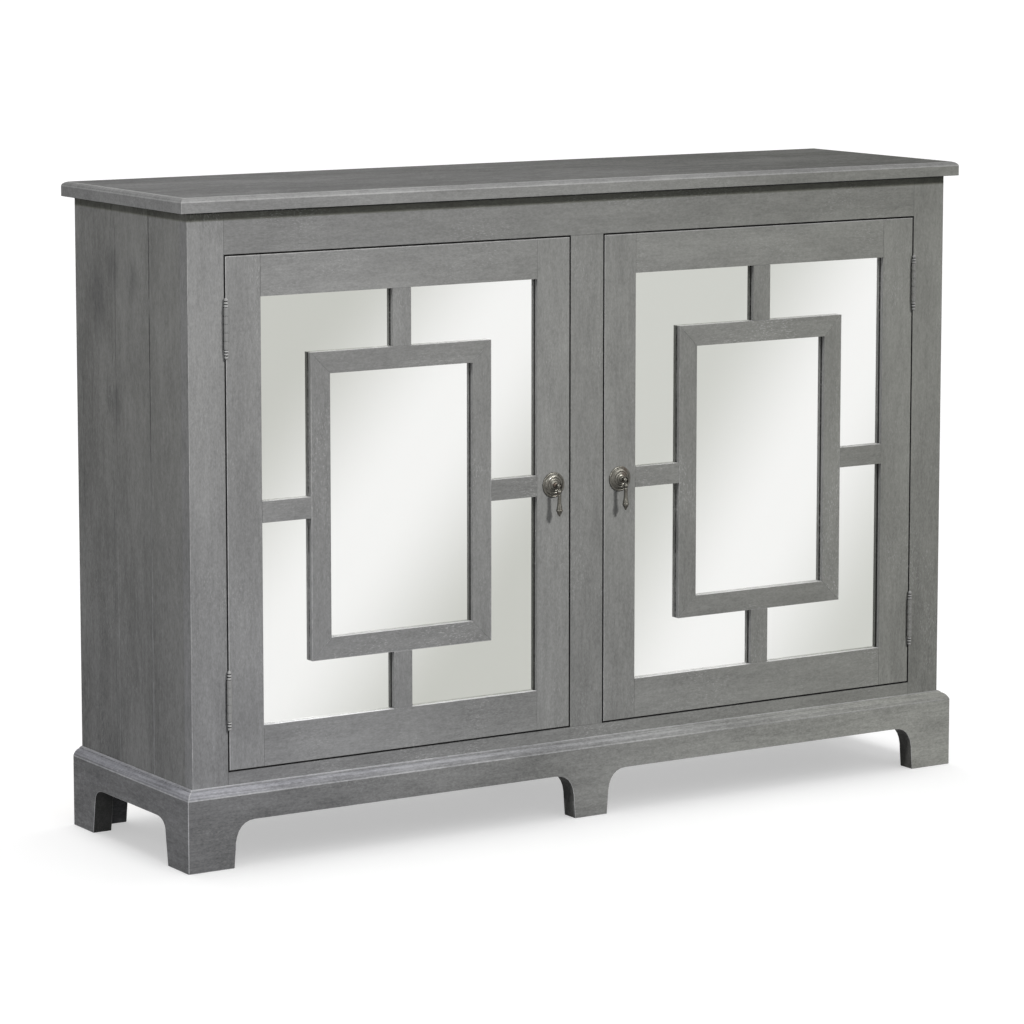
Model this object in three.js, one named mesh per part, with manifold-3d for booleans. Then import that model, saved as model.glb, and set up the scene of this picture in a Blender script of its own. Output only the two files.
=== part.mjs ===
// A chiffonier of painted wood: a low cupboard on a bracket-footed plinth, with two inset doors
// that hold mirrors behind a square fret. Millimetres, +Z up, the front towards -Y, the origin on
// the floor under the middle of the whole piece.

import * as THREE from 'three';
import { mergeVertices } from 'three/addons/utils/BufferGeometryUtils.js';
import Module from 'manifold-3d';

const wasm = await Module();
wasm.setup();

// Fits
const seatGap = 0.3; // between two pieces that are glued, seated or turning in each other
const overrun = 2; // how far a cut runs past the face that it opens

// Carcass
const bodyWidth = 1337;
const bodyDepth = 352;
const bodyTop = 940; // height of the carcass, without the top board
const sideThickness = 22;
const sideBoardCount = 3; // boards glued edge to edge in each side
const backStripWidth = 20; // lipping along the back edge of each side
const seamWidth = 1.6;
const seamDepth = 0.7;
const backThickness = 8;
const backRebateWidth = 11;
const shelfThickness = 18;
const shelfHeight = 500; // underside of the shelf
const shelfSetback = 26;
const grooveDepth = 8;
const tongueThickness = 10; // at the ends of the inside boards, along their undersides

// Top board
const topThickness = 22;
const topOverhang = 17; // at the front and both ends
const topBackOverhang = 10;
const topRoundWidth = 12;
const topRoundHeight = 7;
const topRoundSteps = 6;

// Plinth
const plinthHeight = 119;
const plinthProjection = 15;
const plinthThickness = 30;
const plinthBackThickness = 27;
const plinthSeatDepth = 19; // rebate in the plinth's top that the carcass stands in
const mouldingHeight = 13.5;
const mouldingFilletWidth = 4.5;
const mouldingFilletRise = 2;
const mouldingFilletStep = 1.3;
const mouldingBulgeShares = [0.3, 0.75];
const mouldingSteps = 5;
const frontFootWidth = 74;
const centreFootWidth = 57;
const sideFootWidth = 64;
const archRise = 68;
const longArchStraight = 26; // the foot's nearly upright part, below the curve
const longArchTaper = 2; // how far the foot widens over that part
const longArchCurveWidth = 32;
const sideArchStraight = 47;
const sideArchTaper = 7;
const sideArchCurveWidth = 28;
const archCurveShares = [[0, 0.62], [0.31, 1]];
const archSteps = 7;

// Face frame
const frameThickness = 22;
const frameStileWidth = 58;
const frameCentreWidth = 58;
const frameTopRail = 61.5;
const frameSillShow = 18.5; // how much of the bottom rail shows above the plinth
const tenonLength = 24;
const tenonThickness = 7;
const tenonShoulder = 9;

// Doors
const doorGap = 2;
const doorThickness = 20;
const doorStileWidth = 56.5;
const doorRailWidth = 59.7;
const doorTenonShoulder = 12;
const glassRecess = 8; // from the door's face to the mirror
const glassRebate = 8;
const glassPlay = 1;
const mirrorThickness = 4;
const backingThickness = 5;

// Fret on the mirror
const fretWidth = 304;
const fretHeight = 448;
const fretMember = 32;
const barWidth = 31;

// Butt hinges with turned finials
const hingeInset = 104; // from the end of the door opening to the hinge's middle
const knuckleCount = 5;
const knuckleLength = 12;
const knuckleRadius = 3.4;
const hingePinRadius = 1.9;
const leafThickness = 1.6;
const leafWidth = 17;
const finialLength = 14;
const finialRadius = 3;
const finialShares = [
  [0, 0.78], [0.06, 1], [0.2, 1], [0.27, 0.6], [0.34, 0.62], [0.42, 0.96], [0.52, 0.96],
  [0.6, 0.55], [0.67, 0.55], [0.75, 0.86], [0.88, 0.8], [0.98, 0.4],
];
const hingeSides = 16;
const finialSides = 12;

// Drop handles
const rosetteRadius = 19;
const rosetteHeight = 6.5;
const rosetteShares = [
  [1, 0], [1, 0.16], [0.96, 0.28], [0.9, 0.32], [0.86, 0.27], [0.81, 0.36], [0.7, 0.58],
  [0.58, 0.68], [0.54, 0.63], [0.48, 0.74], [0.34, 0.93], [0.26, 1],
];
const rosetteSides = 32;
const stemRadius = 2.4;
const collarRadius = 4.2;
const collarThickness = 1.8;
const neckRadius = 2.6;
const ballProud = 17; // from the door's face to the ball's middle
const ballRadius = 4.3;
const ballSteps = 7;
const nutRadius = 4.5;
const nutThickness = 3.5;
const postSides = 20;
const eyeRadius = 2.4;
const eyeThickness = 2.4;
const eyePinRadius = 0.9;
const eyePinLength = 6;
const eyeSides = 12;
const pendantLength = 45.5; // from the pin to the tip
const pendantRadius = 5;
const pendantShares = [
  [0.12, 0.3], [0.14, 0.5], [0.175, 0.62], [0.21, 0.5], [0.235, 0.42], [0.26, 0.5], [0.3, 0.54],
  [0.57, 0.54], [0.64, 0.68], [0.7, 0.8], [0.74, 0.84], [0.77, 1], [0.81, 1], [0.835, 0.82],
  [0.9, 0.62], [0.955, 0.34], [0.985, 0.26],
];
const pendantSides = 16;

// Magnetic catches behind the top rail
const catchLength = 46;
const catchDepth = 14;
const catchRise = 18; // on the rail's back
const catchDrop = 10; // below the rail, behind the door
const catchInset = 30; // from the centre stile

// Heights and widths that follow
const carcassBottom = plinthHeight - plinthSeatDepth + seatGap;
const sill = plinthHeight + frameSillShow;
const head = bodyTop - frameTopRail;
const openingHalf = bodyWidth / 2 - frameStileWidth; // from the middle to the outer jamb
const openingWidth = openingHalf - frameCentreWidth / 2;
const openingHeight = head - sill;
const frameBack = frameThickness + seatGap;
const backFace = bodyDepth - backThickness - seatGap; // where the inside boards end
const innerHalf = bodyWidth / 2 - sideThickness;
const hingeHeights = { top: head - hingeInset, bottom: sill + hingeInset };

const paint = { color: 0x7c7d7a, roughness: 0.55, metalness: 0 };
const innerPaint = { color: 0x6f706d, roughness: 0.6, metalness: 0 };
const board = { color: 0x8a7a63, roughness: 0.75, metalness: 0 };
const silvering = { color: 0xe6e9e8, roughness: 0.03, metalness: 1 };
const paintedIron = { color: 0x70716f, roughness: 0.45, metalness: 0.6 };
const pewter = { color: 0x5d5850, roughness: 0.38, metalness: 1 };
const catchIron = { color: 0x4a4a4a, roughness: 0.5, metalness: 0.7 };

const cabinet = new THREE.Group();

// A closed geometry as a solid, turned so that its faces point out.
function solid(geometry) {
  const bare = geometry.clone();
  bare.deleteAttribute('normal');
  bare.deleteAttribute('uv');
  const welded = mergeVertices(bare);
  const place = welded.attributes.position;
  const corners = Uint32Array.from(welded.index.array);
  const [a, b, c] = [new THREE.Vector3(), new THREE.Vector3(), new THREE.Vector3()];
  let volume = 0;
  for (let i = 0; i < corners.length; i += 3) {
    a.fromBufferAttribute(place, corners[i]);
    b.fromBufferAttribute(place, corners[i + 1]);
    c.fromBufferAttribute(place, corners[i + 2]);
    volume += a.dot(b.cross(c));
  }
  if (volume < 0) {
    corners.reverse();
  }
  const vertProperties = Float32Array.from(place.array);
  return new wasm.Manifold(new wasm.Mesh({ numProp: 3, vertProperties, triVerts: corners }));
}

function addMesh(name, shape, finish) {
  const made = shape.getMesh();
  const geometry = new THREE.BufferGeometry();
  geometry.setAttribute('position', new THREE.BufferAttribute(made.vertProperties, 3));
  geometry.setIndex(new THREE.BufferAttribute(made.triVerts, 1));
  geometry.computeVertexNormals();
  const mesh = new THREE.Mesh(geometry, new THREE.MeshStandardMaterial(finish));
  mesh.name = name;
  cabinet.add(mesh);
}

// A squared block between two places on each axis, given in either order.
function block(x, y, z) {
  const low = new THREE.Vector3(Math.min(...x), Math.min(...y), Math.min(...z));
  const high = new THREE.Vector3(Math.max(...x), Math.max(...y), Math.max(...z));
  const size = high.clone().sub(low);
  const middle = low.clone().add(high).divideScalar(2);
  return solid(new THREE.BoxGeometry(size.x, size.y, size.z).translate(middle.x, middle.y, middle.z));
}

// The socket that a tenon or leaf sits in: its block, wider by the seat gap on every side.
function socket(x, y, z) {
  const grown = [x, y, z].map((pair) => [Math.min(...pair) - seatGap, Math.max(...pair) + seatGap]);
  return block(...grown);
}

// An outline carried along an axis: 'x' takes it as (y, z), 'y' as (x, z) and 'z' as (x, y).
function extrude(shape, axis, from, to, steps = 1) {
  const options = { depth: Math.abs(to - from), bevelEnabled: false, curveSegments: steps };
  const geometry = new THREE.ExtrudeGeometry(shape, options);
  const [ex, ey, ez] = [new THREE.Vector3(1, 0, 0), new THREE.Vector3(0, 1, 0), new THREE.Vector3(0, 0, 1)];
  const turned = new THREE.Matrix4();
  if (axis === 'x') {
    turned.makeBasis(ey, ez, ex).setPosition(Math.min(from, to), 0, 0);
  } else if (axis === 'y') {
    turned.makeBasis(ex, ez, ey.clone().negate()).setPosition(0, Math.max(from, to), 0);
  } else {
    turned.makeBasis(ex, ey, ez).setPosition(0, 0, Math.min(from, to));
  }
  return solid(geometry.applyMatrix4(turned));
}

function outline(points) {
  return new THREE.Shape(points.map(([u, v]) => new THREE.Vector2(u, v)));
}

// A profile of [radius, height] points turned about an upright axis.
function turning(points, sides) {
  const profile = points.map(([radius, height]) => new THREE.Vector2(radius, height));
  return new THREE.LatheGeometry(profile, sides).rotateX(Math.PI / 2);
}

// Top board: square-edged below, rounded over above on all four sides, with mitred corners.
function topBoard() {
  const half = bodyWidth / 2 + topOverhang;
  const under = bodyTop + seatGap;
  const shoulder = under + topThickness - topRoundHeight;
  const rings = [[0, under]];
  for (let i = 0; i <= topRoundSteps; i += 1) {
    const turn = (Math.PI / 2) * (i / topRoundSteps);
    rings.push([topRoundWidth * (1 - Math.cos(turn)), shoulder + topRoundHeight * Math.sin(turn)]);
  }
  const places = [];
  for (const [inset, height] of rings) {
    const front = inset - topOverhang;
    const back = bodyDepth + topBackOverhang - inset;
    const side = half - inset;
    places.push(-side, front, height, side, front, height, side, back, height, -side, back, height);
  }
  const faces = [0, 2, 1, 0, 3, 2];
  const last = (rings.length - 1) * 4;
  faces.push(last, last + 1, last + 2, last, last + 2, last + 3);
  for (let ring = 0; ring < last; ring += 4) {
    for (let k = 0; k < 4; k += 1) {
      const next = (k + 1) % 4;
      faces.push(ring + k, ring + next, ring + 4 + next, ring + k, ring + 4 + next, ring + 4 + k);
    }
  }
  const geometry = new THREE.BufferGeometry();
  geometry.setAttribute('position', new THREE.Float32BufferAttribute(places, 3));
  geometry.setIndex(faces);
  return solid(geometry);
}

// The inside boards. A tongue along each end's underside is let into the side.
const insideBoards = {
  floor_board: { z: [sill - shelfThickness, sill], y: [frameBack, backFace] },
  shelf: { z: [shelfHeight, shelfHeight + shelfThickness], y: [frameBack + shelfSetback, backFace] },
};

// A side: boards glued edge to edge with a fine V at each seam, rebated for the back panel and
// grooved for the inside boards. Its plan is carried up from the plinth to the top board.
function sidePanel(hand) {
  const outer = bodyWidth / 2;
  const seams = [bodyDepth - backStripWidth];
  for (let i = sideBoardCount - 1; i > 0; i -= 1) {
    seams.push((bodyDepth * i) / sideBoardCount);
  }
  const plan = [
    [outer, frameBack],
    [innerHalf, frameBack],
    [innerHalf, backFace],
    [innerHalf + backRebateWidth, backFace],
    [innerHalf + backRebateWidth, bodyDepth],
    [outer, bodyDepth],
  ];
  for (const seam of seams) {
    plan.push([outer, seam + seamWidth / 2], [outer - seamDepth, seam], [outer, seam - seamWidth / 2]);
  }
  let panel = extrude(outline(plan.map(([x, y]) => [hand * x, y])), 'z', carcassBottom, bodyTop);
  for (const { y, z } of Object.values(insideBoards)) {
    const x = [hand * innerHalf, hand * (innerHalf + grooveDepth - seatGap)];
    panel = panel.subtract(socket(x, [y[0], y[1] + overrun], [z[0], z[0] + tongueThickness]));
  }
  return panel;
}

addMesh('top_board', topBoard(), paint);
addMesh('side_left', sidePanel(-1), paint);
addMesh('side_right', sidePanel(1), paint);
const backHalf = innerHalf + backRebateWidth - seatGap;
const backPanel = block([-backHalf, backHalf], [backFace + seatGap, bodyDepth], [carcassBottom, bodyTop]);
addMesh('back_panel', backPanel, board);
for (const [name, { y, z }] of Object.entries(insideBoards)) {
  const half = innerHalf - seatGap;
  const reach = innerHalf + grooveDepth - seatGap;
  const tongues = block([-reach, reach], y, [z[0], z[0] + tongueThickness]);
  addMesh(name, block([-half, half], y, z).add(tongues), innerPaint);
}

// Face frame: full-height outer stiles, rails tenoned into them, a centre stile between the rails.
const frameFace = [0, frameThickness];
const frameTenonY = [(frameThickness - tenonThickness) / 2, (frameThickness + tenonThickness) / 2];
const frameRails = {
  frame_top_rail: [head, bodyTop],
  frame_bottom_rail: [carcassBottom, sill],
};

function frameTenons(hand) {
  const x = [hand * (openingHalf - overrun), hand * (openingHalf + tenonLength)];
  return Object.values(frameRails).map(([low, high]) => {
    const z = [low + tenonShoulder, high - tenonShoulder];
    return [x, frameTenonY, z];
  });
}

// The leaf of a butt hinge, flat in the edge of its stile, with its knuckles standing proud of
// the face. Along t, the distance from the jamb, the axis lies in the middle of the door's gap.
const hingeAxisY = -(knuckleRadius + seatGap);
const hingeLength = knuckleCount * knuckleLength;
const boreRadius = hingePinRadius + seatGap;

function hingeX(hand, t) {
  return hand * (openingHalf - t);
}

function leafRange(onDoor) {
  return onDoor ? [doorGap, doorGap + leafThickness] : [-leafThickness, 0];
}

function leafSocket(hand, middle, onDoor) {
  const [near, far] = leafRange(onDoor);
  const t = onDoor ? [near - overrun, far] : [near, far + overrun];
  const x = t.map((value) => hingeX(hand, value));
  return socket(x, [-overrun, leafWidth], [middle - hingeLength / 2, middle + hingeLength / 2]);
}

function roundBar(radius, hand, low, high, sides = hingeSides) {
  const bar = new THREE.CylinderGeometry(radius, radius, high - low, sides).rotateX(Math.PI / 2);
  return solid(bar.translate(hingeX(hand, doorGap / 2), hingeAxisY, (low + high) / 2));
}

function finial(hand, end, direction) {
  const beads = finialShares.map(([rise, reach]) => [finialRadius * reach, finialLength * rise]);
  const turned = turning([[0, 0], ...beads, [0, finialLength]], finialSides);
  if (direction < 0) {
    turned.rotateX(Math.PI);
  }
  return solid(turned.translate(hingeX(hand, doorGap / 2), hingeAxisY, end));
}

function hingeLeaf(hand, middle, onDoor) {
  const x = leafRange(onDoor).map((value) => hingeX(hand, value));
  const low = middle - hingeLength / 2;
  let leaf = block(x, [0, leafWidth], [low, low + hingeLength]);
  for (let i = onDoor ? 1 : 0; i < knuckleCount; i += 2) {
    const ends = [low + i * knuckleLength, low + (i + 1) * knuckleLength];
    const z = onDoor ? [ends[0] + seatGap, ends[1] - seatGap] : ends;
    leaf = leaf.add(roundBar(knuckleRadius, hand, z[0], z[1]));
    leaf = leaf.add(block(x, [hingeAxisY + boreRadius, leafThickness], z));
  }
  if (onDoor) {
    return leaf.subtract(roundBar(boreRadius, hand, low - overrun, low + hingeLength + overrun));
  }
  leaf = leaf.add(roundBar(hingePinRadius, hand, low, low + hingeLength));
  return leaf.add(finial(hand, low + hingeLength, 1)).add(finial(hand, low, -1));
}

for (const [side, hand] of [['left', -1], ['right', 1]]) {
  let stile = block([hand * openingHalf, (hand * bodyWidth) / 2], frameFace, [carcassBottom, bodyTop]);
  for (const tenon of frameTenons(hand)) {
    stile = stile.subtract(socket(...tenon));
  }
  for (const middle of Object.values(hingeHeights)) {
    stile = stile.subtract(leafSocket(hand, middle, false));
  }
  addMesh(`frame_stile_${side}`, stile, paint);
}

const centreHalf = frameCentreWidth / 2;
const centreTenonX = [-(centreHalf - tenonShoulder), centreHalf - tenonShoulder];
const centreTenonZ = [sill - tenonLength / 2, head + tenonLength];
let centreStile = block([-centreHalf, centreHalf], frameFace, [sill + seatGap, head - seatGap]);
centreStile = centreStile.add(block(centreTenonX, frameTenonY, centreTenonZ));
addMesh('frame_centre_stile', centreStile, paint);
for (const [index, [name, z]] of Object.entries(frameRails).entries()) {
  const reach = openingHalf - seatGap;
  let rail = block([-reach, reach], frameFace, z);
  for (const hand of [-1, 1]) {
    rail = rail.add(block(...frameTenons(hand)[index]));
  }
  addMesh(name, rail.subtract(socket(centreTenonX, frameTenonY, centreTenonZ)), paint);
}

// Plinth: boards with a moulded top edge, rebated inside for the carcass and sawn into feet.
// The section runs inwards from the board's face and upwards from the floor.
function plinthSection() {
  const square = plinthHeight - mouldingHeight;
  const wall = plinthProjection - seatGap;
  const seat = plinthHeight - plinthSeatDepth;
  const curveWidth = wall - mouldingFilletWidth;
  const curveHeight = mouldingHeight - mouldingFilletRise;
  const [bulgeIn, bulgeUp] = mouldingBulgeShares;
  const curve = new THREE.QuadraticBezierCurve(
    new THREE.Vector2(0, square),
    new THREE.Vector2(curveWidth * bulgeIn, square + curveHeight * bulgeUp),
    new THREE.Vector2(curveWidth, square + curveHeight - mouldingFilletStep),
  );
  const moulding = curve.getPoints(mouldingSteps).map((point) => [point.x, point.y]);
  return [
    [0, 0],
    ...moulding,
    [curveWidth, square + curveHeight],
    [wall, plinthHeight],
    [wall, seat],
    [plinthThickness, seat],
    [plinthThickness, 0],
  ];
}

const longArch = { straight: longArchStraight, taper: longArchTaper, curveWidth: longArchCurveWidth };
const sideArch = { straight: sideArchStraight, taper: sideArchTaper, curveWidth: sideArchCurveWidth };

// The sawn-out arch between two feet, whose edges on the floor are at from and to.
function arch(from, to, { straight, taper, curveWidth }) {
  const [[inA, upA], [inB, upB]] = archCurveShares;
  const rise = archRise - straight;
  const shape = new THREE.Shape();
  shape.moveTo(from, -overrun);
  shape.lineTo(from, 0);
  const left = from + taper;
  shape.lineTo(left, straight);
  shape.bezierCurveTo(
    left + curveWidth * inA, straight + rise * upA,
    left + curveWidth * inB, straight + rise * upB,
    left + curveWidth, archRise,
  );
  const right = to - taper;
  shape.lineTo(right - curveWidth, archRise);
  shape.bezierCurveTo(
    right - curveWidth * inB, straight + rise * upB,
    right - curveWidth * inA, straight + rise * upA,
    right, straight,
  );
  shape.lineTo(to, 0);
  shape.lineTo(to, -overrun);
  return shape;
}

const plinthHalf = bodyWidth / 2 + plinthProjection;
const footEdge = plinthHalf - frontFootWidth;
const longArches = [[-footEdge, -centreFootWidth / 2], [centreFootWidth / 2, footEdge]];

function longPlinth(boardSolid, y) {
  let cut = boardSolid;
  for (const [from, to] of longArches) {
    cut = cut.subtract(extrude(arch(from, to, longArch), 'y', y[0] - overrun, y[1] + overrun, archSteps));
  }
  return cut;
}

const plinthFrontY = [-plinthProjection, plinthThickness - plinthProjection];
const frontSection = outline(plinthSection().map(([inwards, z]) => [inwards - plinthProjection, z]));
const mitreEnd = plinthHalf - seatGap;
const mitrePlan = outline([
  [-mitreEnd, plinthFrontY[0]],
  [mitreEnd, plinthFrontY[0]],
  [mitreEnd - plinthThickness, plinthFrontY[1]],
  [plinthThickness - mitreEnd, plinthFrontY[1]],
]);
let plinthFront = extrude(frontSection, 'x', -plinthHalf, plinthHalf);
plinthFront = plinthFront.intersect(extrude(mitrePlan, 'z', -overrun, plinthHeight + overrun));
addMesh('plinth_front', longPlinth(plinthFront, plinthFrontY), paint);

for (const [side, hand] of [['left', -1], ['right', 1]]) {
  const section = plinthSection().map(([inwards, z]) => [hand * (plinthHalf - inwards), z]);
  const plan = outline([
    [hand * plinthHalf, plinthFrontY[0]],
    [hand * (plinthHalf - plinthThickness), plinthFrontY[1]],
    [hand * (plinthHalf - plinthThickness), bodyDepth],
    [hand * plinthHalf, bodyDepth],
  ]);
  let plinthSide = extrude(outline(section), 'y', plinthFrontY[0], bodyDepth);
  plinthSide = plinthSide.intersect(extrude(plan, 'z', -overrun, plinthHeight + overrun));
  const cut = arch(plinthFrontY[0] + sideFootWidth, bodyDepth - sideFootWidth, sideArch);
  const x = [hand * (plinthHalf - plinthThickness - overrun), hand * (plinthHalf + overrun)];
  addMesh(`plinth_${side}`, plinthSide.subtract(extrude(cut, 'x', x[0], x[1], archSteps)), paint);
}

const plinthBackReach = plinthHalf - plinthThickness - seatGap;
const plinthBackY = [bodyDepth - plinthBackThickness, bodyDepth];
const plinthBackZ = [0, plinthHeight - plinthSeatDepth];
const plinthBack = block([-plinthBackReach, plinthBackReach], plinthBackY, plinthBackZ);
addMesh('plinth_back', longPlinth(plinthBack, plinthBackY), paint);

// Drop handle: a turned rosette, a bolt through the door with a slotted ball on its end, and a
// pendant whose eye turns on the pin across the slot.
function rosette() {
  const bore = stemRadius + seatGap;
  const inner = rosetteShares.map(([reach, rise]) => [rosetteRadius * reach, rosetteHeight * rise]);
  const points = [[bore, 0], ...inner, [bore, rosetteHeight], [bore, 0]];
  return turning(points, rosetteSides).rotateX(Math.PI / 2);
}

function post() {
  const collarFoot = rosetteHeight + seatGap;
  const points = [[0, -(doorThickness + nutThickness)], [nutRadius, -(doorThickness + nutThickness)]];
  points.push([nutRadius, -(doorThickness + seatGap)], [stemRadius, -(doorThickness + seatGap)]);
  points.push([stemRadius, collarFoot], [collarRadius, collarFoot]);
  points.push([collarRadius, collarFoot + collarThickness], [neckRadius, collarFoot + collarThickness]);
  const first = Math.asin(neckRadius / ballRadius);
  for (let i = 0; i <= ballSteps; i += 1) {
    const turn = Math.PI - first - (Math.PI - first) * (i / ballSteps);
    const reach = i === ballSteps ? 0 : ballRadius * Math.sin(turn);
    points.push([reach, ballProud + ballRadius * Math.cos(turn)]);
  }
  return turning(points, postSides).rotateX(Math.PI / 2);
}

function crossPin(radius, length, sides) {
  return new THREE.CylinderGeometry(radius, radius, length, sides).rotateZ(Math.PI / 2);
}

function handle(prefix, x, z, pendantName) {
  const pocket = eyeRadius + seatGap;
  const slotHalf = eyeThickness / 2 + seatGap;
  const reachOut = -(ballProud + ballRadius + overrun);
  const slotY = [reachOut, pocket - ballProud];
  const slotZ = [z - ballRadius - overrun, z + pocket];
  let bolt = solid(post().translate(x, 0, z));
  bolt = bolt.subtract(block([x - slotHalf, x + slotHalf], slotY, slotZ));
  bolt = bolt.add(solid(crossPin(eyePinRadius, eyePinLength, eyeSides).translate(x, -ballProud, z)));
  addMesh(`${prefix}_rosette`, solid(rosette().translate(x, -seatGap, z)), pewter);
  addMesh(`${prefix}_post`, bolt, pewter);

  const body = pendantShares.map(([drop, reach]) => [pendantRadius * reach, -pendantLength * drop]);
  const top = [0, body[0][1]];
  let drop = solid(turning([top, ...body, [0, -pendantLength]], pendantSides));
  drop = drop.add(solid(crossPin(eyeRadius, eyeThickness, eyeSides)));
  const tongueHalf = eyeThickness / 2;
  const beadDrop = -pendantLength * pendantShares[2][0];
  drop = drop.add(block([-tongueHalf, tongueHalf], [-tongueHalf, tongueHalf], [beadDrop, 0]));
  drop = drop.subtract(solid(crossPin(eyePinRadius + seatGap, eyeThickness + overrun, eyeSides)));
  addMesh(pendantName, drop.translate([x, -ballProud, z]), pewter);
}

// Doors: t runs from the jamb towards the middle of the piece, and every part is placed by it.
const doorFace = [0, doorThickness];
const doorT = [doorGap, openingWidth - doorGap];
const doorZ = [sill + doorGap, head - doorGap];
const glassT = [doorT[0] + doorStileWidth, doorT[1] - doorStileWidth];
const glassZ = [doorZ[0] + doorRailWidth, doorZ[1] - doorRailWidth];
const glassMiddleT = (glassT[0] + glassT[1]) / 2;
const glassMiddleZ = (glassZ[0] + glassZ[1]) / 2;
const rebateT = [glassT[0] - glassRebate, glassT[1] + glassRebate];
const rebateZ = [glassZ[0] - glassRebate, glassZ[1] + glassRebate];
const doorTenonY = [(doorThickness - tenonThickness) / 2, (doorThickness + tenonThickness) / 2];
const doorTenonT = [glassT[0] - tenonLength, glassT[1] + tenonLength];
const doorRails = { top_rail: [glassZ[1], doorZ[1]], bottom_rail: [doorZ[0], glassZ[0]] };

function doorTenon([low, high]) {
  return [low + doorTenonShoulder, high - doorTenonShoulder];
}

const fretFace = [0, glassRecess];
const fretT = [glassMiddleT - fretWidth / 2, glassMiddleT + fretWidth / 2];
const fretZ = [glassMiddleZ - fretHeight / 2, glassMiddleZ + fretHeight / 2];
const handleT = doorT[1] - doorStileWidth / 2;

for (const [side, hand] of [['left', -1], ['right', 1]]) {
  const prefix = `door_${side}`;
  const across = (pair) => pair.map((t) => hingeX(hand, t));
  const rebate = block(across(rebateT), [glassRecess, doorThickness + overrun], rebateZ);
  const stiles = { hinge_stile: [doorT[0], glassT[0]], lock_stile: [glassT[1], doorT[1]] };

  for (const [name, t] of Object.entries(stiles)) {
    let stile = block(across(t), doorFace, doorZ).subtract(rebate);
    for (const z of Object.values(doorRails)) {
      stile = stile.subtract(socket(across(doorTenonT), doorTenonY, doorTenon(z)));
    }
    if (name === 'hinge_stile') {
      for (const middle of Object.values(hingeHeights)) {
        stile = stile.subtract(leafSocket(hand, middle, true));
      }
    } else {
      const bore = stemRadius + seatGap;
      const hole = new THREE.CylinderGeometry(bore, bore, doorThickness + overrun, postSides);
      stile = stile.subtract(solid(hole.translate(hingeX(hand, handleT), doorThickness / 2, glassMiddleZ)));
    }
    addMesh(`${prefix}_${name}`, stile, paint);
  }

  for (const [name, z] of Object.entries(doorRails)) {
    let rail = block(across([glassT[0] + seatGap, glassT[1] - seatGap]), doorFace, z).subtract(rebate);
    rail = rail.add(block(across(doorTenonT), doorTenonY, doorTenon(z)));
    addMesh(`${prefix}_${name}`, rail, paint);
  }

  // Mirror and its backing board, in the rebate behind the glass opening
  const paneT = [rebateT[0] + glassPlay, rebateT[1] - glassPlay];
  const paneZ = [rebateZ[0] + glassPlay, rebateZ[1] - glassPlay];
  const mirrorY = [glassRecess + seatGap, glassRecess + seatGap + mirrorThickness];
  addMesh(`${prefix}_mirror`, block(across(paneT), mirrorY, paneZ), silvering);
  const backingY = [mirrorY[1] + seatGap, mirrorY[1] + seatGap + backingThickness];
  addMesh(`${prefix}_mirror_backing`, block(across(paneT), backingY, paneZ), board);

  // Fret: four members mitred round the middle, and a bar from each to the door's frame
  for (const [name, edge, far] of [['bottom', 0, 1], ['top', 1, -1]]) {
    const outerZ = fretZ[edge];
    const innerZ = outerZ + far * fretMember;
    const member = outline([
      [hingeX(hand, fretT[0] + seatGap), outerZ],
      [hingeX(hand, fretT[1] - seatGap), outerZ],
      [hingeX(hand, fretT[1] - fretMember - seatGap), innerZ],
      [hingeX(hand, fretT[0] + fretMember + seatGap), innerZ],
    ]);
    addMesh(`${prefix}_fret_${name}`, extrude(member, 'y', ...fretFace), paint);
    const barT = [glassMiddleT - barWidth / 2, glassMiddleT + barWidth / 2];
    const barZ = [outerZ - far * seatGap, glassZ[edge] + far * seatGap];
    addMesh(`${prefix}_bar_${name}`, block(across(barT), fretFace, barZ), paint);
  }
  for (const [name, edge, far] of [['hinge', 0, 1], ['lock', 1, -1]]) {
    const outerT = fretT[edge];
    const innerT = outerT + far * fretMember;
    const member = outline([
      [hingeX(hand, outerT), fretZ[0]],
      [hingeX(hand, outerT), fretZ[1]],
      [hingeX(hand, innerT), fretZ[1] - fretMember],
      [hingeX(hand, innerT), fretZ[0] + fretMember],
    ]);
    addMesh(`${prefix}_fret_${name}`, extrude(member, 'y', ...fretFace), paint);
    const barT = [outerT - far * seatGap, glassT[edge] + far * seatGap];
    const barZ = [glassMiddleZ - barWidth / 2, glassMiddleZ + barWidth / 2];
    addMesh(`${prefix}_bar_${name}`, block(across(barT), fretFace, barZ), paint);
  }

  for (const [place, middle] of Object.entries(hingeHeights)) {
    addMesh(`hinge_${side}_${place}_frame_leaf`, hingeLeaf(hand, middle, false), paintedIron);
    addMesh(`hinge_${side}_${place}_door_leaf`, hingeLeaf(hand, middle, true), paintedIron);
  }
  handle(`handle_${side}`, hingeX(hand, handleT), glassMiddleZ, `pendant_${side}`);

  // Catch: screwed to the back of the top rail, its nose behind the door
  const catchX = [hand * (centreHalf + catchInset), hand * (centreHalf + catchInset + catchLength)];
  const catchBack = frameBack + catchDepth;
  const nose = block(catchX, [doorThickness + seatGap, catchBack], [head - catchDrop, head - seatGap]);
  const plate = block(catchX, [frameBack, catchBack], [head - catchDrop, head + catchRise]);
  addMesh(`catch_${side}`, nose.add(plate), catchIron);
}

const frontReach = -(ballProud + Math.max(pendantRadius, ballRadius));
const backReach = bodyDepth + topBackOverhang;
cabinet.position.y = -(frontReach + backReach) / 2;

export default cabinet;
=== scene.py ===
# A low cupboard in grey washed paint with two mirrored doors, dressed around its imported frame.
from functools import partial
import math

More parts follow.
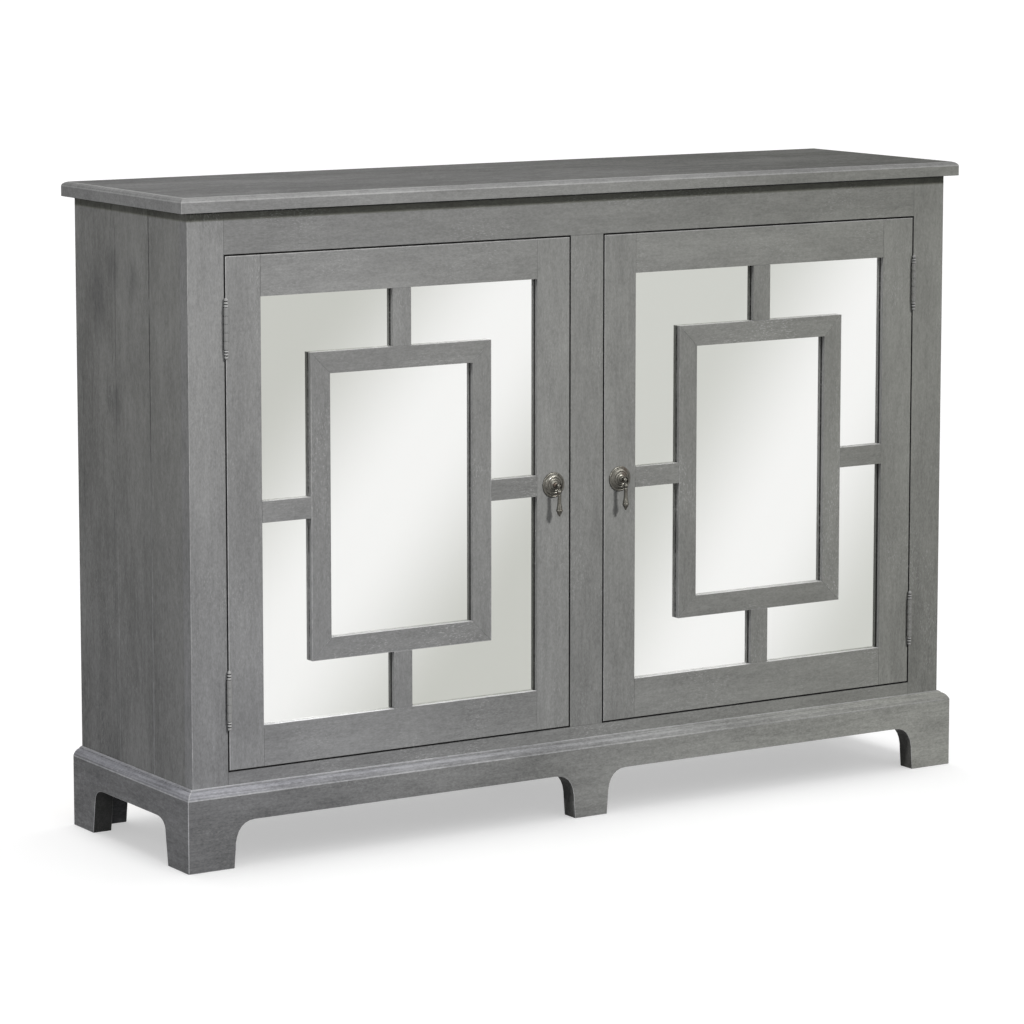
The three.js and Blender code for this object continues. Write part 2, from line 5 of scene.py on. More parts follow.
import bmesh
import bpy
import numpy as np
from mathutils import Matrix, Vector


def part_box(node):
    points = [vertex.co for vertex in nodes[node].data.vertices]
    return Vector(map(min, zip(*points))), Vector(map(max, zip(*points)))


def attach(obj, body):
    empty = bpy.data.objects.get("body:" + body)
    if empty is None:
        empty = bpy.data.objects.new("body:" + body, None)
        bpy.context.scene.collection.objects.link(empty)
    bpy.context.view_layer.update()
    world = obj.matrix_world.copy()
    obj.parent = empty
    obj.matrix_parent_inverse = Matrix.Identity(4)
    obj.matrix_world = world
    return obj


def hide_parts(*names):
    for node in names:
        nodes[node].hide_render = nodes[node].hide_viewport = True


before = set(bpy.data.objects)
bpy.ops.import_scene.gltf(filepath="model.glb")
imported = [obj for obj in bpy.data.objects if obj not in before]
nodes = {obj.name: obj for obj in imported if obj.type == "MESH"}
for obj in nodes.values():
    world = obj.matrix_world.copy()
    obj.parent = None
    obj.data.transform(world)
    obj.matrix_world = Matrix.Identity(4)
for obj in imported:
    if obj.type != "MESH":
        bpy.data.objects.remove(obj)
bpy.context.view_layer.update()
scene = bpy.context.scene
mm = 0.001
print("frame loaded with", len(nodes), "nodes")


# The two corners of a piece's box in the frame, in mm
def cornersOf(name):
    return np.round(np.array(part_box(name)) / mm, 3)


frontFace = cornersOf("frame_centre_stile")[0][1]
doorBack = cornersOf("door_left_top_rail")[1][1]

# Camera
cameraSettings = {
    "lens": 143.05,
    "shiftY": -0.10,
    "place": (-3.3057, -5.1972, 1.4101),
    "lookDown": 7.514,
    "turn": -32.266,
}


def makeCamera(settings):
    data = bpy.data.cameras.new("studioCamera")
    data.lens = settings["lens"]
    data.sensor_width = 36
    data.shift_y = settings["shiftY"]
    camera = bpy.data.objects.new("studioCamera", data)
    camera.location = settings["place"]
    camera.rotation_euler = (
        math.radians(90 - settings["lookDown"]), 0, math.radians(settings["turn"]))
    scene.collection.objects.link(camera)
    scene.camera = camera


makeCamera(cameraSettings)


# Shader helpers. An input is a plain value or another node's output. The id_data of a socket or
# node is its tree.
def fill(node, inputs):
    for key, value in inputs.items():
        if isinstance(value, bpy.types.NodeSocket):
            node.id_data.links.new(value, node.inputs[key])
        else:
            node.inputs[key].default_value = value
    return node


def addNode(tree, kind, inputs, **settings):
    node = tree.nodes.new(f"ShaderNode{kind}")
    for key, value in settings.items():
        setattr(node, key, value)
    return fill(node, inputs)


# Adds a node to the tree that its first linked input comes from.
def addAfter(kind, inputs, **settings):
    linked = [value for value in inputs.values() if isinstance(value, bpy.types.NodeSocket)]
    return addNode(linked[0].id_data, kind, inputs, **settings).outputs


def addMath(operation, a, b=0.0):
    return addAfter("Math", {0: a, 1: b}, operation=operation)[0]


plus, minus, times = [partial(addMath, name) for name in ("ADD", "SUBTRACT", "MULTIPLY")]
over, larger, smaller = [partial(addMath, name) for name in ("DIVIDE", "MAXIMUM", "MINIMUM")]
absolute = partial(addMath, "ABSOLUTE")


# Changes smoothly from one value at low to another one at high.
def ramp(value, low, high, atLow=0.0, atHigh=1.0):
    inputs = {"Value": value, "From Min": low, "From Max": high, "To Min": atLow, "To Max": atHigh}
    return addAfter("MapRange", inputs, interpolation_type="SMOOTHSTEP")[0]


def fadeOut(value, low, high):
    return ramp(value, low, high, 1.0, 0.0)


def mix(amount, a, b):
    return addAfter("Mix", {0: amount, 6: a, 7: b}, data_type="RGBA")[2]


def addVectorMath(operation, a, b=(0, 0, 0)):
    return addAfter("VectorMath", {0: a, 1: b}, operation=operation)


def scaled(vector, x, y, z):
    return addVectorMath("MULTIPLY", vector, (x, y, z))[0]


def axes(vector):
    return addAfter("SeparateXYZ", {0: vector})


def vectorOf(x, y, z):
    return addAfter("CombineXYZ", {0: x, 1: y, 2: z})[0]


def noise(vector, scale, detail, rough):
    inputs = {"Vector": vector, "Scale": scale, "Detail": detail, "Roughness": rough}
    return addAfter("TexNoise", inputs)["Fac"]


# Noise with marks per metre along each axis
def streaks(vector, x, y, z, detail, rough):
    return noise(scaled(vector, x, y, z), 1.0, detail, rough)


def bump(height, strength, distance):
    return addAfter("Bump", {"Height": height, "Strength": strength, "Distance": distance})[0]


# A node group is opened with the names of its inputs, by kind, and closed with its outputs.
def openGroup(name, vectors=(), colours=(), values=()):
    group = bpy.data.node_groups.new(name, "ShaderNodeTree")
    for labels, kind in ((vectors, "Vector"), (colours, "Color"), (values, "Float")):
        for label in labels:
            group.interface.new_socket(label, in_out="INPUT", socket_type=f"NodeSocket{kind}")
    return group, group.nodes.new("NodeGroupInput").outputs


def closeGroup(group, outputs):
    for label, value in outputs.items():
        kind = "Color" if value.type == "RGBA" else "Float"
        group.interface.new_socket(label, in_out="OUTPUT", socket_type=f"NodeSocket{kind}")
    fill(group.nodes.new("NodeGroupOutput"), outputs)
    return group


def placeGroup(tree, group, inputs):
    return addNode(tree, "Group", inputs, node_tree=group).outputs


# Layers of the brushed grain: marks per metre along x, y and z, detail and roughness. The mottling
# runs from 80 mm down to 10 mm and is drawn out four times.
grainLayers = {
    "mottle": (3.0, 13, 13, 3.0, 0.9),
    "weave": (85, 200, 200, 1.0, 0.8),
    "bristle": (24, 260, 260, 2.0, 0.7),
    "fine": (220, 460, 460, 1.0, 0.8),
    "cloud": (2.4, 5, 5, 2.0, 0.5),
    "patches": (7, 12, 12, 2.0, 0.5),
    "flecks": (190, 560, 560, 2.0, 0.7),
}
scratchLayer = {"lean": (0.6, 0.5, 0.7), "sizes": (9, 330, 60, 1.0, 0.5)}


# Brushed grain along x. Its tone is made of mottling, bristle marks, a weave and fine marks. Short
# dry flecks and a few long leaning scratches lie in patches.
def makeBrushedGrain():
    group, given = openGroup("brushedGrain", ["Vector"], values=["Fleck Cover"])
    place = given["Vector"]
    layer = {name: streaks(place, *sizes) for name, sizes in grainLayers.items()}
    tone = plus(times(layer["mottle"], 0.5), times(layer["bristle"], 0.22))
    tone = plus(tone, times(layer["weave"], 0.28))
    tone = plus(tone, times(minus(layer["fine"], 0.5), 0.34))
    covered = times(ramp(layer["patches"], 0.42, 0.72), given["Fleck Cover"])
    leaning = addAfter("Mapping", {"Vector": place, "Rotation": scratchLayer["lean"]})[0]
    scratches = streaks(leaning, *scratchLayer["sizes"])
    return closeGroup(group, {
        "Tone": tone, "Cloud": layer["cloud"],
        "Fleck": times(ramp(layer["flecks"], 0.54, 0.68), covered),
        "Scratch": times(ramp(scratches, 0.68, 0.76), ramp(layer["patches"], 0.48, 0.6)),
        "Height": plus(layer["mottle"], times(layer["flecks"], 0.5))})


# Where the colour's painted light and shade change along x, y and z, in metres, and the tint of
# its painted cool light low down on the left
driftLook = {"across": (-0.75, 0.7), "back": (-0.1, 0.2), "up": (0.05, 0.75),
             "coolLightTint": (0.99, 0.995, 1.03)}


# Colour from a base grey with painted light and shade: it drifts to another grey at the right,
# darkens towards the back and the floor as painted shade and is cooler low down on the left as
# painted cool light, toned by the grain, with flecks of the paler wash.
def makeWashedColour():
    group, given = openGroup(
        "washedColour", ["Vector"], ["Grey", "Right Shade Grey", "Wash"],
        ["Shade Back", "Shade Low", "Tone", "Cloud", "Fleck", "Tone Strength", "Cloud Strength"])
    x, y, z = axes(given["Vector"])
    far = ramp(x, *driftLook["across"])
    low = fadeOut(z, *driftLook["up"])
    base = mix(far, given["Grey"], given["Right Shade Grey"])
    base = mix(times(low, minus(1.0, far)), base, scaled(base, *driftLook["coolLightTint"]))
    back = times(ramp(y, *driftLook["back"]), given["Shade Back"])
    tone = times(minus(given["Tone"], 0.5), given["Tone Strength"])
    cloud = times(minus(given["Cloud"], 0.5), given["Cloud Strength"])
    light = plus(plus(tone, cloud), 1.0)
    light = minus(light, plus(back, times(low, given["Shade Low"])))
    toned = addAfter("VectorMath", {0: base, "Scale": light}, operation="SCALE")[0]
    return closeGroup(group, {"Color": mix(given["Fleck"], toned, given["Wash"])})


boxInputs = ["Vector", "Middle", "Half"]


# A point's depths inside a box, from its three pairs of faces. The box is mirrored at -x too.
def boxDepths(given):
    x, y, z = axes(given["Vector"])
    away = addVectorMath("SUBTRACT", vectorOf(absolute(x), y, z), given["Middle"])[0]
    away = addVectorMath("ABSOLUTE", away)[0]
    return axes(addVectorMath("SUBTRACT", given["Half"], away)[0])


# Worn arris: the mask is 1 where two faces of a box meet, broken into runs of wear. Of the three
# distances from a point to the box's pairs of faces, the middle one is its distance to an edge.
def makeWornArris():
    group, given = openGroup("wornArris", boxInputs, values=["Reach"])
    x, y, z = [absolute(depth) for depth in boxDepths(given)]
    middle = larger(smaller(x, y), smaller(larger(x, y), z))
    edge = fadeOut(over(middle, given["Reach"]), 0.55, 1.15)
    runs = ramp(noise(given["Vector"], 22.0, 3.0, 0.6), 0.36, 0.62, 0.25, 1.0)
    nicks = ramp(noise(given["Vector"], 260.0, 2.0, 0.6), 0.3, 0.55, 0.5, 1.0)
    return closeGroup(group, {"Worn": times(edge, times(runs, nicks))})


# Two places in metres, given in mm from a face
def span(face, offsets):
    return [(face + offset) * mm for offset in offsets]


# Painted shade in the joint round a door: the mask is 1 on the side faces of a box and just round
# them, and ends a few millimetres behind the front.
def makeGapShade():
    group, given = openGroup("gapShade", boxInputs)
    x, _, z = boxDepths(given)
    shadedGap = fadeOut(absolute(smaller(x, z)), 0.25 * mm, 0.55 * mm)
    inFront = fadeOut(axes(given["Vector"])["Y"], *span(frontFace, (6, 10)))
    return closeGroup(group, {"Gap Shade": times(shadedGap, inFront)})


# Which way a face looks. Up faces lean back or lie level, Level ones lie level and Sideways ones
# look left or right. Sawn faces are the cut outline of a board along x or y, and Eased ones its
# arrises. Rounding is the two ends of a rounded upper edge.
def makeFacing():
    group, _ = openGroup("facing")
    x, y, z = axes(addNode(group, "NewGeometry", {}).outputs["Normal"])
    x, y = absolute(x), absolute(y)
    lowEnd = times(ramp(z, 0.12, 0.18), fadeOut(z, 0.4, 0.55))
    highEnd = times(ramp(z, 0.93, 0.96), fadeOut(z, 0.98, 0.993))
    shares = {"Up": ramp(z, 0.15, 0.6), "Level": ramp(z, 0.93, 0.99),
              "Sideways": ramp(x, 0.5, 0.85), "Rounding": plus(lowEnd, highEnd)}
    upright = fadeOut(z, 0.05, 0.2)
    for along, part in (("X", y), ("Y", x)):
        leaning = times(ramp(part, 0.1, 0.3), fadeOut(part, 0.9, 0.98))
        shares[f"Sawn {along}"] = times(fadeOut(part, 0.2, 0.6), upright)
        shares[f"Eased {along}"] = times(leaning, upright)
    return closeGroup(group, shares)


# Where marks begin and end, in mm from the frame's top, the glass, a door's top and left edges, the
# plinth's top and back, or, for withinDoor, the middle. A joint between the boards of a side is y
# and strength, and a smudge there is middle y and z, half width and half height.
markLook = {
    "under": (-14.5, -11.5), "underLine": (-3.7, -1.7),
    "beside": (-2.7, -1.4), "atGlass": (0, 0.6),
    "doorTop": (-1.6, -0.9), "doorLeft": (0.9, 1.8), "withinDoor": (60, 70, 570, 580),
    "line": (-12.5, -11.5), "lowerArris": -13.5, "arrisWidth": (0.3, 1.2),
    "mouldingTop": (-1.8, -0.8), "mitreWidth": (0.5, 1.6), "back": (-1.0, -0.5),
    "joints": ((-53, 1.0), (54, 0.5)), "jointWidth": (0.6, 1.9), "jointWander": 3.0,
    "smudges": ((62, 842, 30, 60), (2, 836, 26, 52), (60, 645, 34, 60), (110, 800, 50, 90)),
}


# Doors: painted highlight on the top and left edges, and painted shade, black, beside the mirrors.
def addDoorMarks(look, x, y, z, across):
    edges = ramp(addMath("GREATER_THAN", x, 0.0), 0.0, 1.0,
                 cornersOf("door_left_hinge_stile")[0][0] * mm,
                 cornersOf("door_right_lock_stile")[0][0] * mm)
    doorTop = cornersOf("door_left_top_rail")[1][2]
    glass = cornersOf("door_left_mirror")[0][1]
    inner, outer = span(0, look["withinDoor"][:2]), span(0, look["withinDoor"][2:])
    return {
        "Door Top": ramp(z, *span(doorTop, look["doorTop"])),
        "Door Left": fadeOut(minus(x, edges), *span(0, look["doorLeft"])),
        "Within Door": times(ramp(across, *inner), fadeOut(across, *outer)),
        "Beside Mirror": times(ramp(y, *span(glass, look["beside"])),
                               fadeOut(y, *span(glass, look["atGlass"])))}


# Plinth: mitres, a line above the moulding's lower arris, wear on it and at the moulding's top, and
# all that lies ahead of the back faces.
def addPlinthMarks(look, place, y, z, across):
    low, high = cornersOf("plinth_left")
    top = high[2]
    mitred = minus(plus(across, y), (low[1] - low[0]) * mm)
    ripple = streaks(place, 2, 2, 330, 2.0, 0.7)
    wear = ramp(noise(place, 30.0, 3.0, 0.6), 0.3, 0.5, 0.45, 1.0)
    offArris = absolute(minus(z, (top + look["lowerArris"]) * mm))
    return {
        "Mitre": fadeOut(absolute(mitred), *span(0, look["mitreWidth"])),
        "Moulding Line": times(ramp(ripple, 0.45, 0.56), ramp(z, *span(top, look["line"]))),
        "Moulding Arris": times(fadeOut(offArris, *span(0, look["arrisWidth"])), wear),
        "Moulding Top": times(ramp(z, *span(top, look["mouldingTop"])), wear),
        "Ahead": fadeOut(y, *span(high[1], look["back"]))}


# Sides: glue lines that wander, dark high up and pale low down, and smudges, which fade with the
# distance from their middle in half sizes.
def addSideMarks(look, place, y, z):
    wander = times(minus(streaks(place, 1, 1, 26, 2.0, 0.6), 0.5), look["jointWander"] * mm)
    crack, smudge = 0.0, 0.0
    for joint, share in look["joints"]:
        off = absolute(plus(minus(y, joint * mm), wander))
        crack = larger(ramp(off, *span(0, look["jointWidth"]), share, 0.0), crack)
    crack = times(crack, ramp(noise(place, 26.0, 3.0, 0.65), 0.3, 0.5))
    for middleY, middleZ, halfY, halfZ in look["smudges"]:
        away = vectorOf(0, over(minus(y, middleY * mm), halfY * mm),
                        over(minus(z, middleZ * mm), halfZ * mm))
        away = addVectorMath("LENGTH", away)["Value"]
        smudge = larger(fadeOut(away, 0.1, 1.0), smudge)
    high = ramp(z, 0.35, 0.7)
    return {"Dark Joint": times(crack, high), "Pale Joint": times(crack, minus(1.0, high)),
            "Smudge": times(ramp(streaks(place, 4, 26, 9, 3.0, 0.6), 0.3, 0.6), smudge)}


# Marks at known places. Under is the painted shadow below the top board, and Under Line the
# painted shade in the joint there.
def makePlacedMarks(look):
    group, given = openGroup("placedMarks", ["Vector"])
    place = given["Vector"]
    x, y, z = axes(place)
    across = absolute(x)
    top = cornersOf("frame_top_rail")[1][2]
    return closeGroup(group, {
        "Under": ramp(z, *span(top, look["under"])),
        "Under Line": ramp(z, *span(top, look["underLine"])),
        **addDoorMarks(look, x, y, z, across), **addPlinthMarks(look, place, y, z, across),
        **addSideMarks(look, place, y, z)})


brushedGrain = makeBrushedGrain()
washedColour = makeWashedColour()
wornArris = makeWornArris()
gapShade = makeGapShade()
facingShares = makeFacing()
placedMarks = makePlacedMarks(markLook)


def newMaterial(name):
    material = bpy.data.materials.new(name)
    material.use_nodes = True
    tree = material.node_tree
    return material, tree, tree.nodes["Principled BSDF"]


# Grain directions, as turns in degrees that bring each one onto the x axis
alongX, alongY, upright = (0, 0, 0), (0, 0, 90), (0, 90, 0)


def objectPlace(tree, turn=alongX):
    place = addNode(tree, "TexCoord", {}).outputs["Object"]
    if turn == alongX:
        return place
    angles = [math.radians(angle) for angle in turn]
    return addAfter("Mapping", {"Vector": place, "Rotation": angles})[0]


def grey(level, tint=(1.0, 1.0, 1.0)):
    return tuple(level * part for part in tint) + (1.0,)


# The middle and half size of the box between two corners given in mm
def middleAndHalf(low, high):
    low, high = np.array(low) * mm, np.array(high) * mm
    return tuple((low + high) / 2), tuple((high - low) / 2)


def boxRound(*names):
    corners = np.array([cornersOf(name) for name in names])
    return middleAndHalf(corners[:, 0].min(axis=0), corners[:, 1].max(axis=0))


# The opening of a door, between the stiles and rails of the face frame
def openingBox():
    centre, stile = cornersOf("frame_centre_stile"), cornersOf("frame_stile_right")
    bottom, top = cornersOf("frame_bottom_rail"), cornersOf("frame_top_rail")
    return middleAndHalf((centre[1][0], centre[0][1], bottom[1][2]),
                         (stile[0][0], centre[1][1], top[0][2]))


# Boxes whose arrises are worn. Those of the right door and opening stand for the left ones too.
boxes = {
    "body": boxRound("side_left", "side_right", "frame_stile_left", "frame_stile_right"),
    "top": boxRound("top_board"),
    "plinth": boxRound("plinth_left", "plinth_right"),
    "shelf": boxRound("shelf"),
    "floor": boxRound("floor_board"),
    "door": boxRound("door_right_hinge_stile", "door_right_lock_stile"),
    "fret": boxRound("door_right_fret_top", "door_right_fret_bottom"),
    "opening": openingBox(),
}

# Coats laid over the washed grey, in order: mask, colours at the left and right, share of cover. A
# plain number is a neutral grey. Where the left and right colours differ, that is painted light and
# shade.
olive = (1.0, 1.01, 0.945)
shade = (1.0, 1.02, 0.84)
earth = (1.0, 1.0, 0.94)
# Painted shadow below the top board, and darker painted shade in the joint just under it
underCoats = [("Under", grey(0.13, shade), grey(0.14, shade), 0.85),
              ("Under Line", 0.02, 0.03, 0.85)]
# The face frame takes painted shade in the joints round the doors and below the top board.
frameCoats = [("Sideways", 0.215, 0.2, 1.0), ("Gap Shade", 0.03, 0.03, 1.0), *underCoats]
# Painted shade on the side faces inside a door and, black, beside the mirrors
glassCoats = [("Reveal", 0.21, 0.19, 0.85), ("Beside Mirror", 0.012, 0.012, 1.0)]
frontLook = {
    "grey": 0.248, "far": grey(0.228, olive), "wash": 0.48, "shadeLow": 0.18, "tone": 1.25,
    "cloud": 0.25, "flecks": 0.42, "rough": 0.55, "shine": 0.16, "reach": 1.1}
paintLook = {
    "front": {**frontLook, "shadedGap": "opening", "coats": [("Worn", 0.4, 0.3, 0.9), *frameCoats]},
    "stile": {**frontLook, "grey": 0.275, "far": grey(0.232, olive), "shadeLow": 0.28,
              "shadedGap": "opening", "coats": [("Worn", 0.42, 0.3, 0.9), *frameCoats]},
    # Door: painted shade by the glass and in the joint round it, and painted highlight on upward
    # faces and along the top and left edges
    "door": {**frontLook, "grey": 0.267, "far": grey(0.233, olive), "shadeLow": 0.1,
             "shadedGap": "door", "coats": [
                 *glassCoats, ("Up", 0.8, 0.5, 0.85), ("Door Left", 0.5, 0.34, 0.85),
                 ("Door Top", 0.6, 0.42, 0.9), ("Gap Shade", 0.1, 0.03, 1.0)]},
    # Fret: painted shade by the glass, and painted highlight on upward faces
    "fret": {**frontLook, "wash": 0.5, "flecks": 0.55, "shadeLow": 0.11, "coats": [
        *glassCoats, ("Worn", 0.42, 0.32, 0.75), ("Up", 0.55, 0.42, 0.9)]},
    "side": {
        "grey": grey(0.243, (1.0, 1.0, 0.97)), "far": grey(0.2, olive), "wash": 0.36,
        "shadeBack": 0.18, "shadeLow": 0.28, "tone": 1.1, "cloud": 0.6, "flecks": 0.4,
        "rough": 0.6, "shine": 0.12, "reach": 0.9, "coats": [
            ("Smudge", 0.11, 0.11, 0.7), ("Worn", 0.34, 0.3, 0.7),
            ("Dark Joint", 0.04, 0.04, 0.85), ("Pale Joint", 0.36, 0.32, 0.6), *underCoats]},
    # Top board: painted light on its side faces and round-over, painted highlight lines at the ends
    # of the rounding, and painted shade on the level top
    "top": {
        "grey": 0.28, "far": grey(0.235, olive), "wash": 0.4, "tone": 1.2, "cloud": 0.5,
        "flecks": 0.3, "rough": 0.65, "shine": 0.05, "reach": 0.8, "coats": [
            ("Sideways", 0.3, 0.2, 0.8), ("Up", 0.31, 0.22, 0.9),
            ("Level", 0.186, grey(0.098, olive), 1.0), ("Rounding", 0.45, 0.33, 0.8),
            ("Worn", 0.5, 0.33, 0.7)]},
    # Plinth: painted light on the upward faces of the moulding, and painted shade, near-black, on
    # the sawn faces of the arches
    "plinth": {
        "grey": 0.162, "far": grey(0.25, olive), "wash": 0.34, "shadeBack": 0.12, "tone": 2.0,
        "cloud": 0.8, "flecks": 0.4, "rough": 0.55, "shine": 0.12, "reach": 1.1, "coats": [
            ("Sideways", 0.156, 0.15, 0.9), ("Scratch", 0.32, 0.25, 0.3),
            ("Up", grey(0.34, (1.0, 1.0, 1.06)), grey(0.22, olive), 0.9),
            ("Moulding Line", 0.12, 0.12, 0.45), ("Moulding Top", 0.46, 0.28, 0.7),
            ("Mitred", 0.6, 0.4, 0.9), ("Worn", 0.5, 0.32, 0.85),
            ("Moulding Arris", 0.42, 0.25, 0.85),
            ("Sawn", grey(0.06, earth), grey(0.075, earth), 0.95), ("Eased", 0.62, 0.45, 0.8)]},
    "inside": {
        "grey": 0.21, "far": 0.19, "wash": 0.27, "shadeBack": 0.1, "tone": 1.0, "cloud": 0.4,
        "flecks": 0.1, "rough": 0.65, "shine": 0.12, "reach": 1.0,
        "coats": [("Worn", 0.32, 0.3, 0.6)]},
}


def asColour(value):
    return value if isinstance(value, tuple) else grey(value)


def addGrain(tree, turn, look):
    return placeGroup(tree, brushedGrain, {"Vector": objectPlace(tree, turn),
                                           "Fleck Cover": look["flecks"]})


def addWash(place, grain, look, near, far, **falls):
    tones = {label: grain[label] for label in ("Tone", "Cloud", "Fleck")}
    return placeGroup(place.id_data, washedColour, {
        "Vector": place, "Grey": asColour(near), "Right Shade Grey": asColour(far),
        "Wash": asColour(look["wash"]), **tones, "Tone Strength": look["tone"],
        "Cloud Strength": look["cloud"], **falls})["Color"]


# The wash under the coats, with painted shade towards the back and the floor
def addBase(place, grain, look):
    falls = {"Shade Back": look.get("shadeBack", 0.0), "Shade Low": look.get("shadeLow", 0.0)}
    return addWash(place, grain, look, look["grey"], look["far"], **falls)


def boxAt(place, box):
    return dict(zip(boxInputs, (place, *boxes[box])))


def addMasks(tree, look, turn, box, grain, place):
    masks = dict(placeGroup(tree, facingShares, {}).items())
    masks.update(placeGroup(tree, placedMarks, {"Vector": place}).items())
    along = "Y" if turn == alongY else "X"
    for kind in ("Sawn", "Eased"):
        masks[kind] = times(masks[f"{kind} {along}"], masks["Ahead"])
    masks["Scratch"] = grain["Scratch"]
    masks["Mitred"] = times(masks["Mitre"], masks["Up"])
    # Reveal: sideways faces inside a door, which take painted shade
    masks["Reveal"] = times(masks["Sideways"], masks["Within Door"])
    masks["Worn"] = placeGroup(
        tree, wornArris, {**boxAt(place, box), "Reach": look["reach"] * mm})["Worn"]
    # Painted shade in the gap round a door or its opening
    if "shadedGap" in look:
        masks["Gap Shade"] = placeGroup(tree, gapShade, boxAt(place, look["shadedGap"]))["Gap Shade"]
    return masks


def makePaint(name, look, turn, box):
    material, tree, shader = newMaterial(name)
    place = objectPlace(tree)
    grain = addGrain(tree, turn, look)
    colour = addBase(place, grain, look)
    masks = addMasks(tree, look, turn, box, grain, place)
    for mask, near, far, share in look["coats"]:
        coat = addWash(place, grain, look, near, far)
        colour = mix(times(masks[mask], share), colour, coat)
    rough = ramp(grain["Tone"], 0.4, 0.6, look["rough"] + 0.08, look["rough"] - 0.08)
    fill(shader, {"Base Color": colour, "Roughness": rough, "Specular IOR Level": look["shine"],
                  "Normal": bump(grain["Height"], 0.35, 0.12 * mm)})
    return material


paints = {}


def paint(look, turn, box):
    direction = {alongX: "AlongX", alongY: "AlongY", upright: "Upright"}[turn]
    name = f"{look}Paint{direction}_{box}"
    if name not in paints:
        paints[name] = makePaint(name, paintLook[look], turn, box)
    return paints[name]


print("painted finishes ready")


# Worked edges: the loose triangles are joined into whole faces, then every arris is eased.
def easeEdges(piece, width, limit):
    weld = piece.modifiers.new("joinCorners", "WELD")
    weld.merge_threshold = 0.005 * mm
    flatten = piece.modifiers.new("wholeFaces", "DECIMATE")
    flatten.decimate_type = "DISSOLVE"
    flatten.angle_limit = math.radians(0.6)
    bevel = piece.modifiers.new("easedArris", "BEVEL")
    bevel.width = width
    bevel.segments = 2
    bevel.limit_method = "ANGLE"
    bevel.angle_limit = math.radians(limit)


def dress(name, material):
    piece = nodes[name]
    piece.data.materials.clear()
    piece.data.materials.append(material)
    return piece


# Each piece's look, grain direction, worn box, arris width in mm, and least angle of an arris
woodPieces = {
    "top_board": ("top", alongX, "top", 0.7, 30),
    "floor_board": ("inside", alongX, "floor", 0.6, 60),
    "shelf": ("inside", alongX, "shelf", 0.6, 60),
    "frame_centre_stile": ("front", upright, "body", 0.15, 60),
    "frame_top_rail": ("front", alongX, "body", 0.12, 60),
    "frame_bottom_rail": ("front", alongX, "body", 0.12, 60),
    "plinth_front": ("plinth", alongX, "plinth", 0.9, 28),
    "plinth_back": ("plinth", alongX, "plinth", 0.9, 28),
}
for hand in ("left", "right"):
    woodPieces[f"side_{hand}"] = ("side", upright, "body", 0.5, 85)
    woodPieces[f"frame_stile_{hand}"] = ("stile", upright, "body", 0.15, 60)
    woodPieces[f"plinth_{hand}"] = ("plinth", alongY, "plinth", 0.9, 28)
    for part in ("hinge_stile", "lock_stile"):
        woodPieces[f"door_{hand}_{part}"] = ("door", upright, "door", 0.15, 60)
    for part in ("top_rail", "bottom_rail"):
        woodPieces[f"door_{hand}_{part}"] = ("door", alongX, "door", 0.12, 60)
    for part in ("fret_hinge", "fret_lock", "bar_top", "bar_bottom"):
        woodPieces[f"door_{hand}_{part}"] = ("fret", upright, "fret", 0.1, 60)
    for part in ("fret_top", "fret_bottom", "bar_hinge", "bar_lock"):
        woodPieces[f"door_{hand}_{part}"] = ("fret", alongX, "fret", 0.1, 60)

boardLook = {"grey": (0.33, 0.235, 0.145, 1), "far": (0.28, 0.19, 0.11, 1),
             "wash": (0.42, 0.32, 0.21, 1), "shadeLow": 0.1, "tone": 1.6, "cloud": 0.4,
             "flecks": 0.2}


# Bare board for the back and behind the mirrors: pale brown with long fibres.
def makeBareBoard(look):
    material, tree, shader = newMaterial("bareBoard")
    grain = addGrain(tree, upright, look)
    fill(shader, {"Base Color": addBase(objectPlace(tree), grain, look),
                  "Roughness": ramp(grain["Tone"], 0.3, 0.7, 0.8, 0.65),
                  "Specular IOR Level": 0.2, "Normal": bump(grain["Height"], 0.3, 0.2 * mm)})
    return material


bareBoard = makeBareBoard(boardLook)
for name, (look, turn, box, width, limit) in woodPieces.items():
    easeEdges(dress(name, paint(look, turn, box)), width * mm, limit)
easeEdges(dress("back_panel", bareBoard), 0.4 * mm, 60)
print("wood dressed")

# Mirrors: silvering with a painted reflection, bright along a broad diagonal band and darker to
# each side of it.
# Distance across the band = x cos(lean) + z sin(lean) - offset, from the middle of the glass.
# The band's colour and the colours to each side of it are a painted reflection.
mirrorLook = {
    "clear": (0.846, 0.848, 0.834, 1),
    "band": (0.017, 0.262),
    "left": {"lean": -0.70, "offset": -0.015, "reflectedSides": (0.530, 0.537, 0.500, 1)},
    "right": {"lean": -0.58, "offset": 0.076, "reflectedSides": (0.573, 0.582, 0.546, 1)},
}


def makeMirror(hand, middle):
    look = mirrorLook[hand]
    material, tree, shader = newMaterial(f"mirrorPaintedBand_{hand}")
    place = objectPlace(tree)
    direction = (math.cos(look["lean"]), 0, math.sin(look["lean"]))
    across = addVectorMath("DOT_PRODUCT", place, direction)["Value"]
    away = absolute(minus(across, np.dot(middle, direction) + look["offset"]))
    reflectedSides = ramp(away, *mirrorLook["band"])
    fill(shader, {"Base Color": mix(reflectedSides, mirrorLook["clear"], look["reflectedSides"]), "Metallic": 1.0,
                  "Roughness": ramp(noise(place, 9.0, 3.0, 0.6), 0.3, 0.7, 0.015, 0.05)})
    return material


for hand in ("left", "right"):
    middle, _ = boxRound(f"door_{hand}_mirror")
    dress(f"door_{hand}_mirror", makeMirror(hand, middle))
    dress(f"door_{hand}_mirror_backing", bareBoard)
print("mirrors silvered")

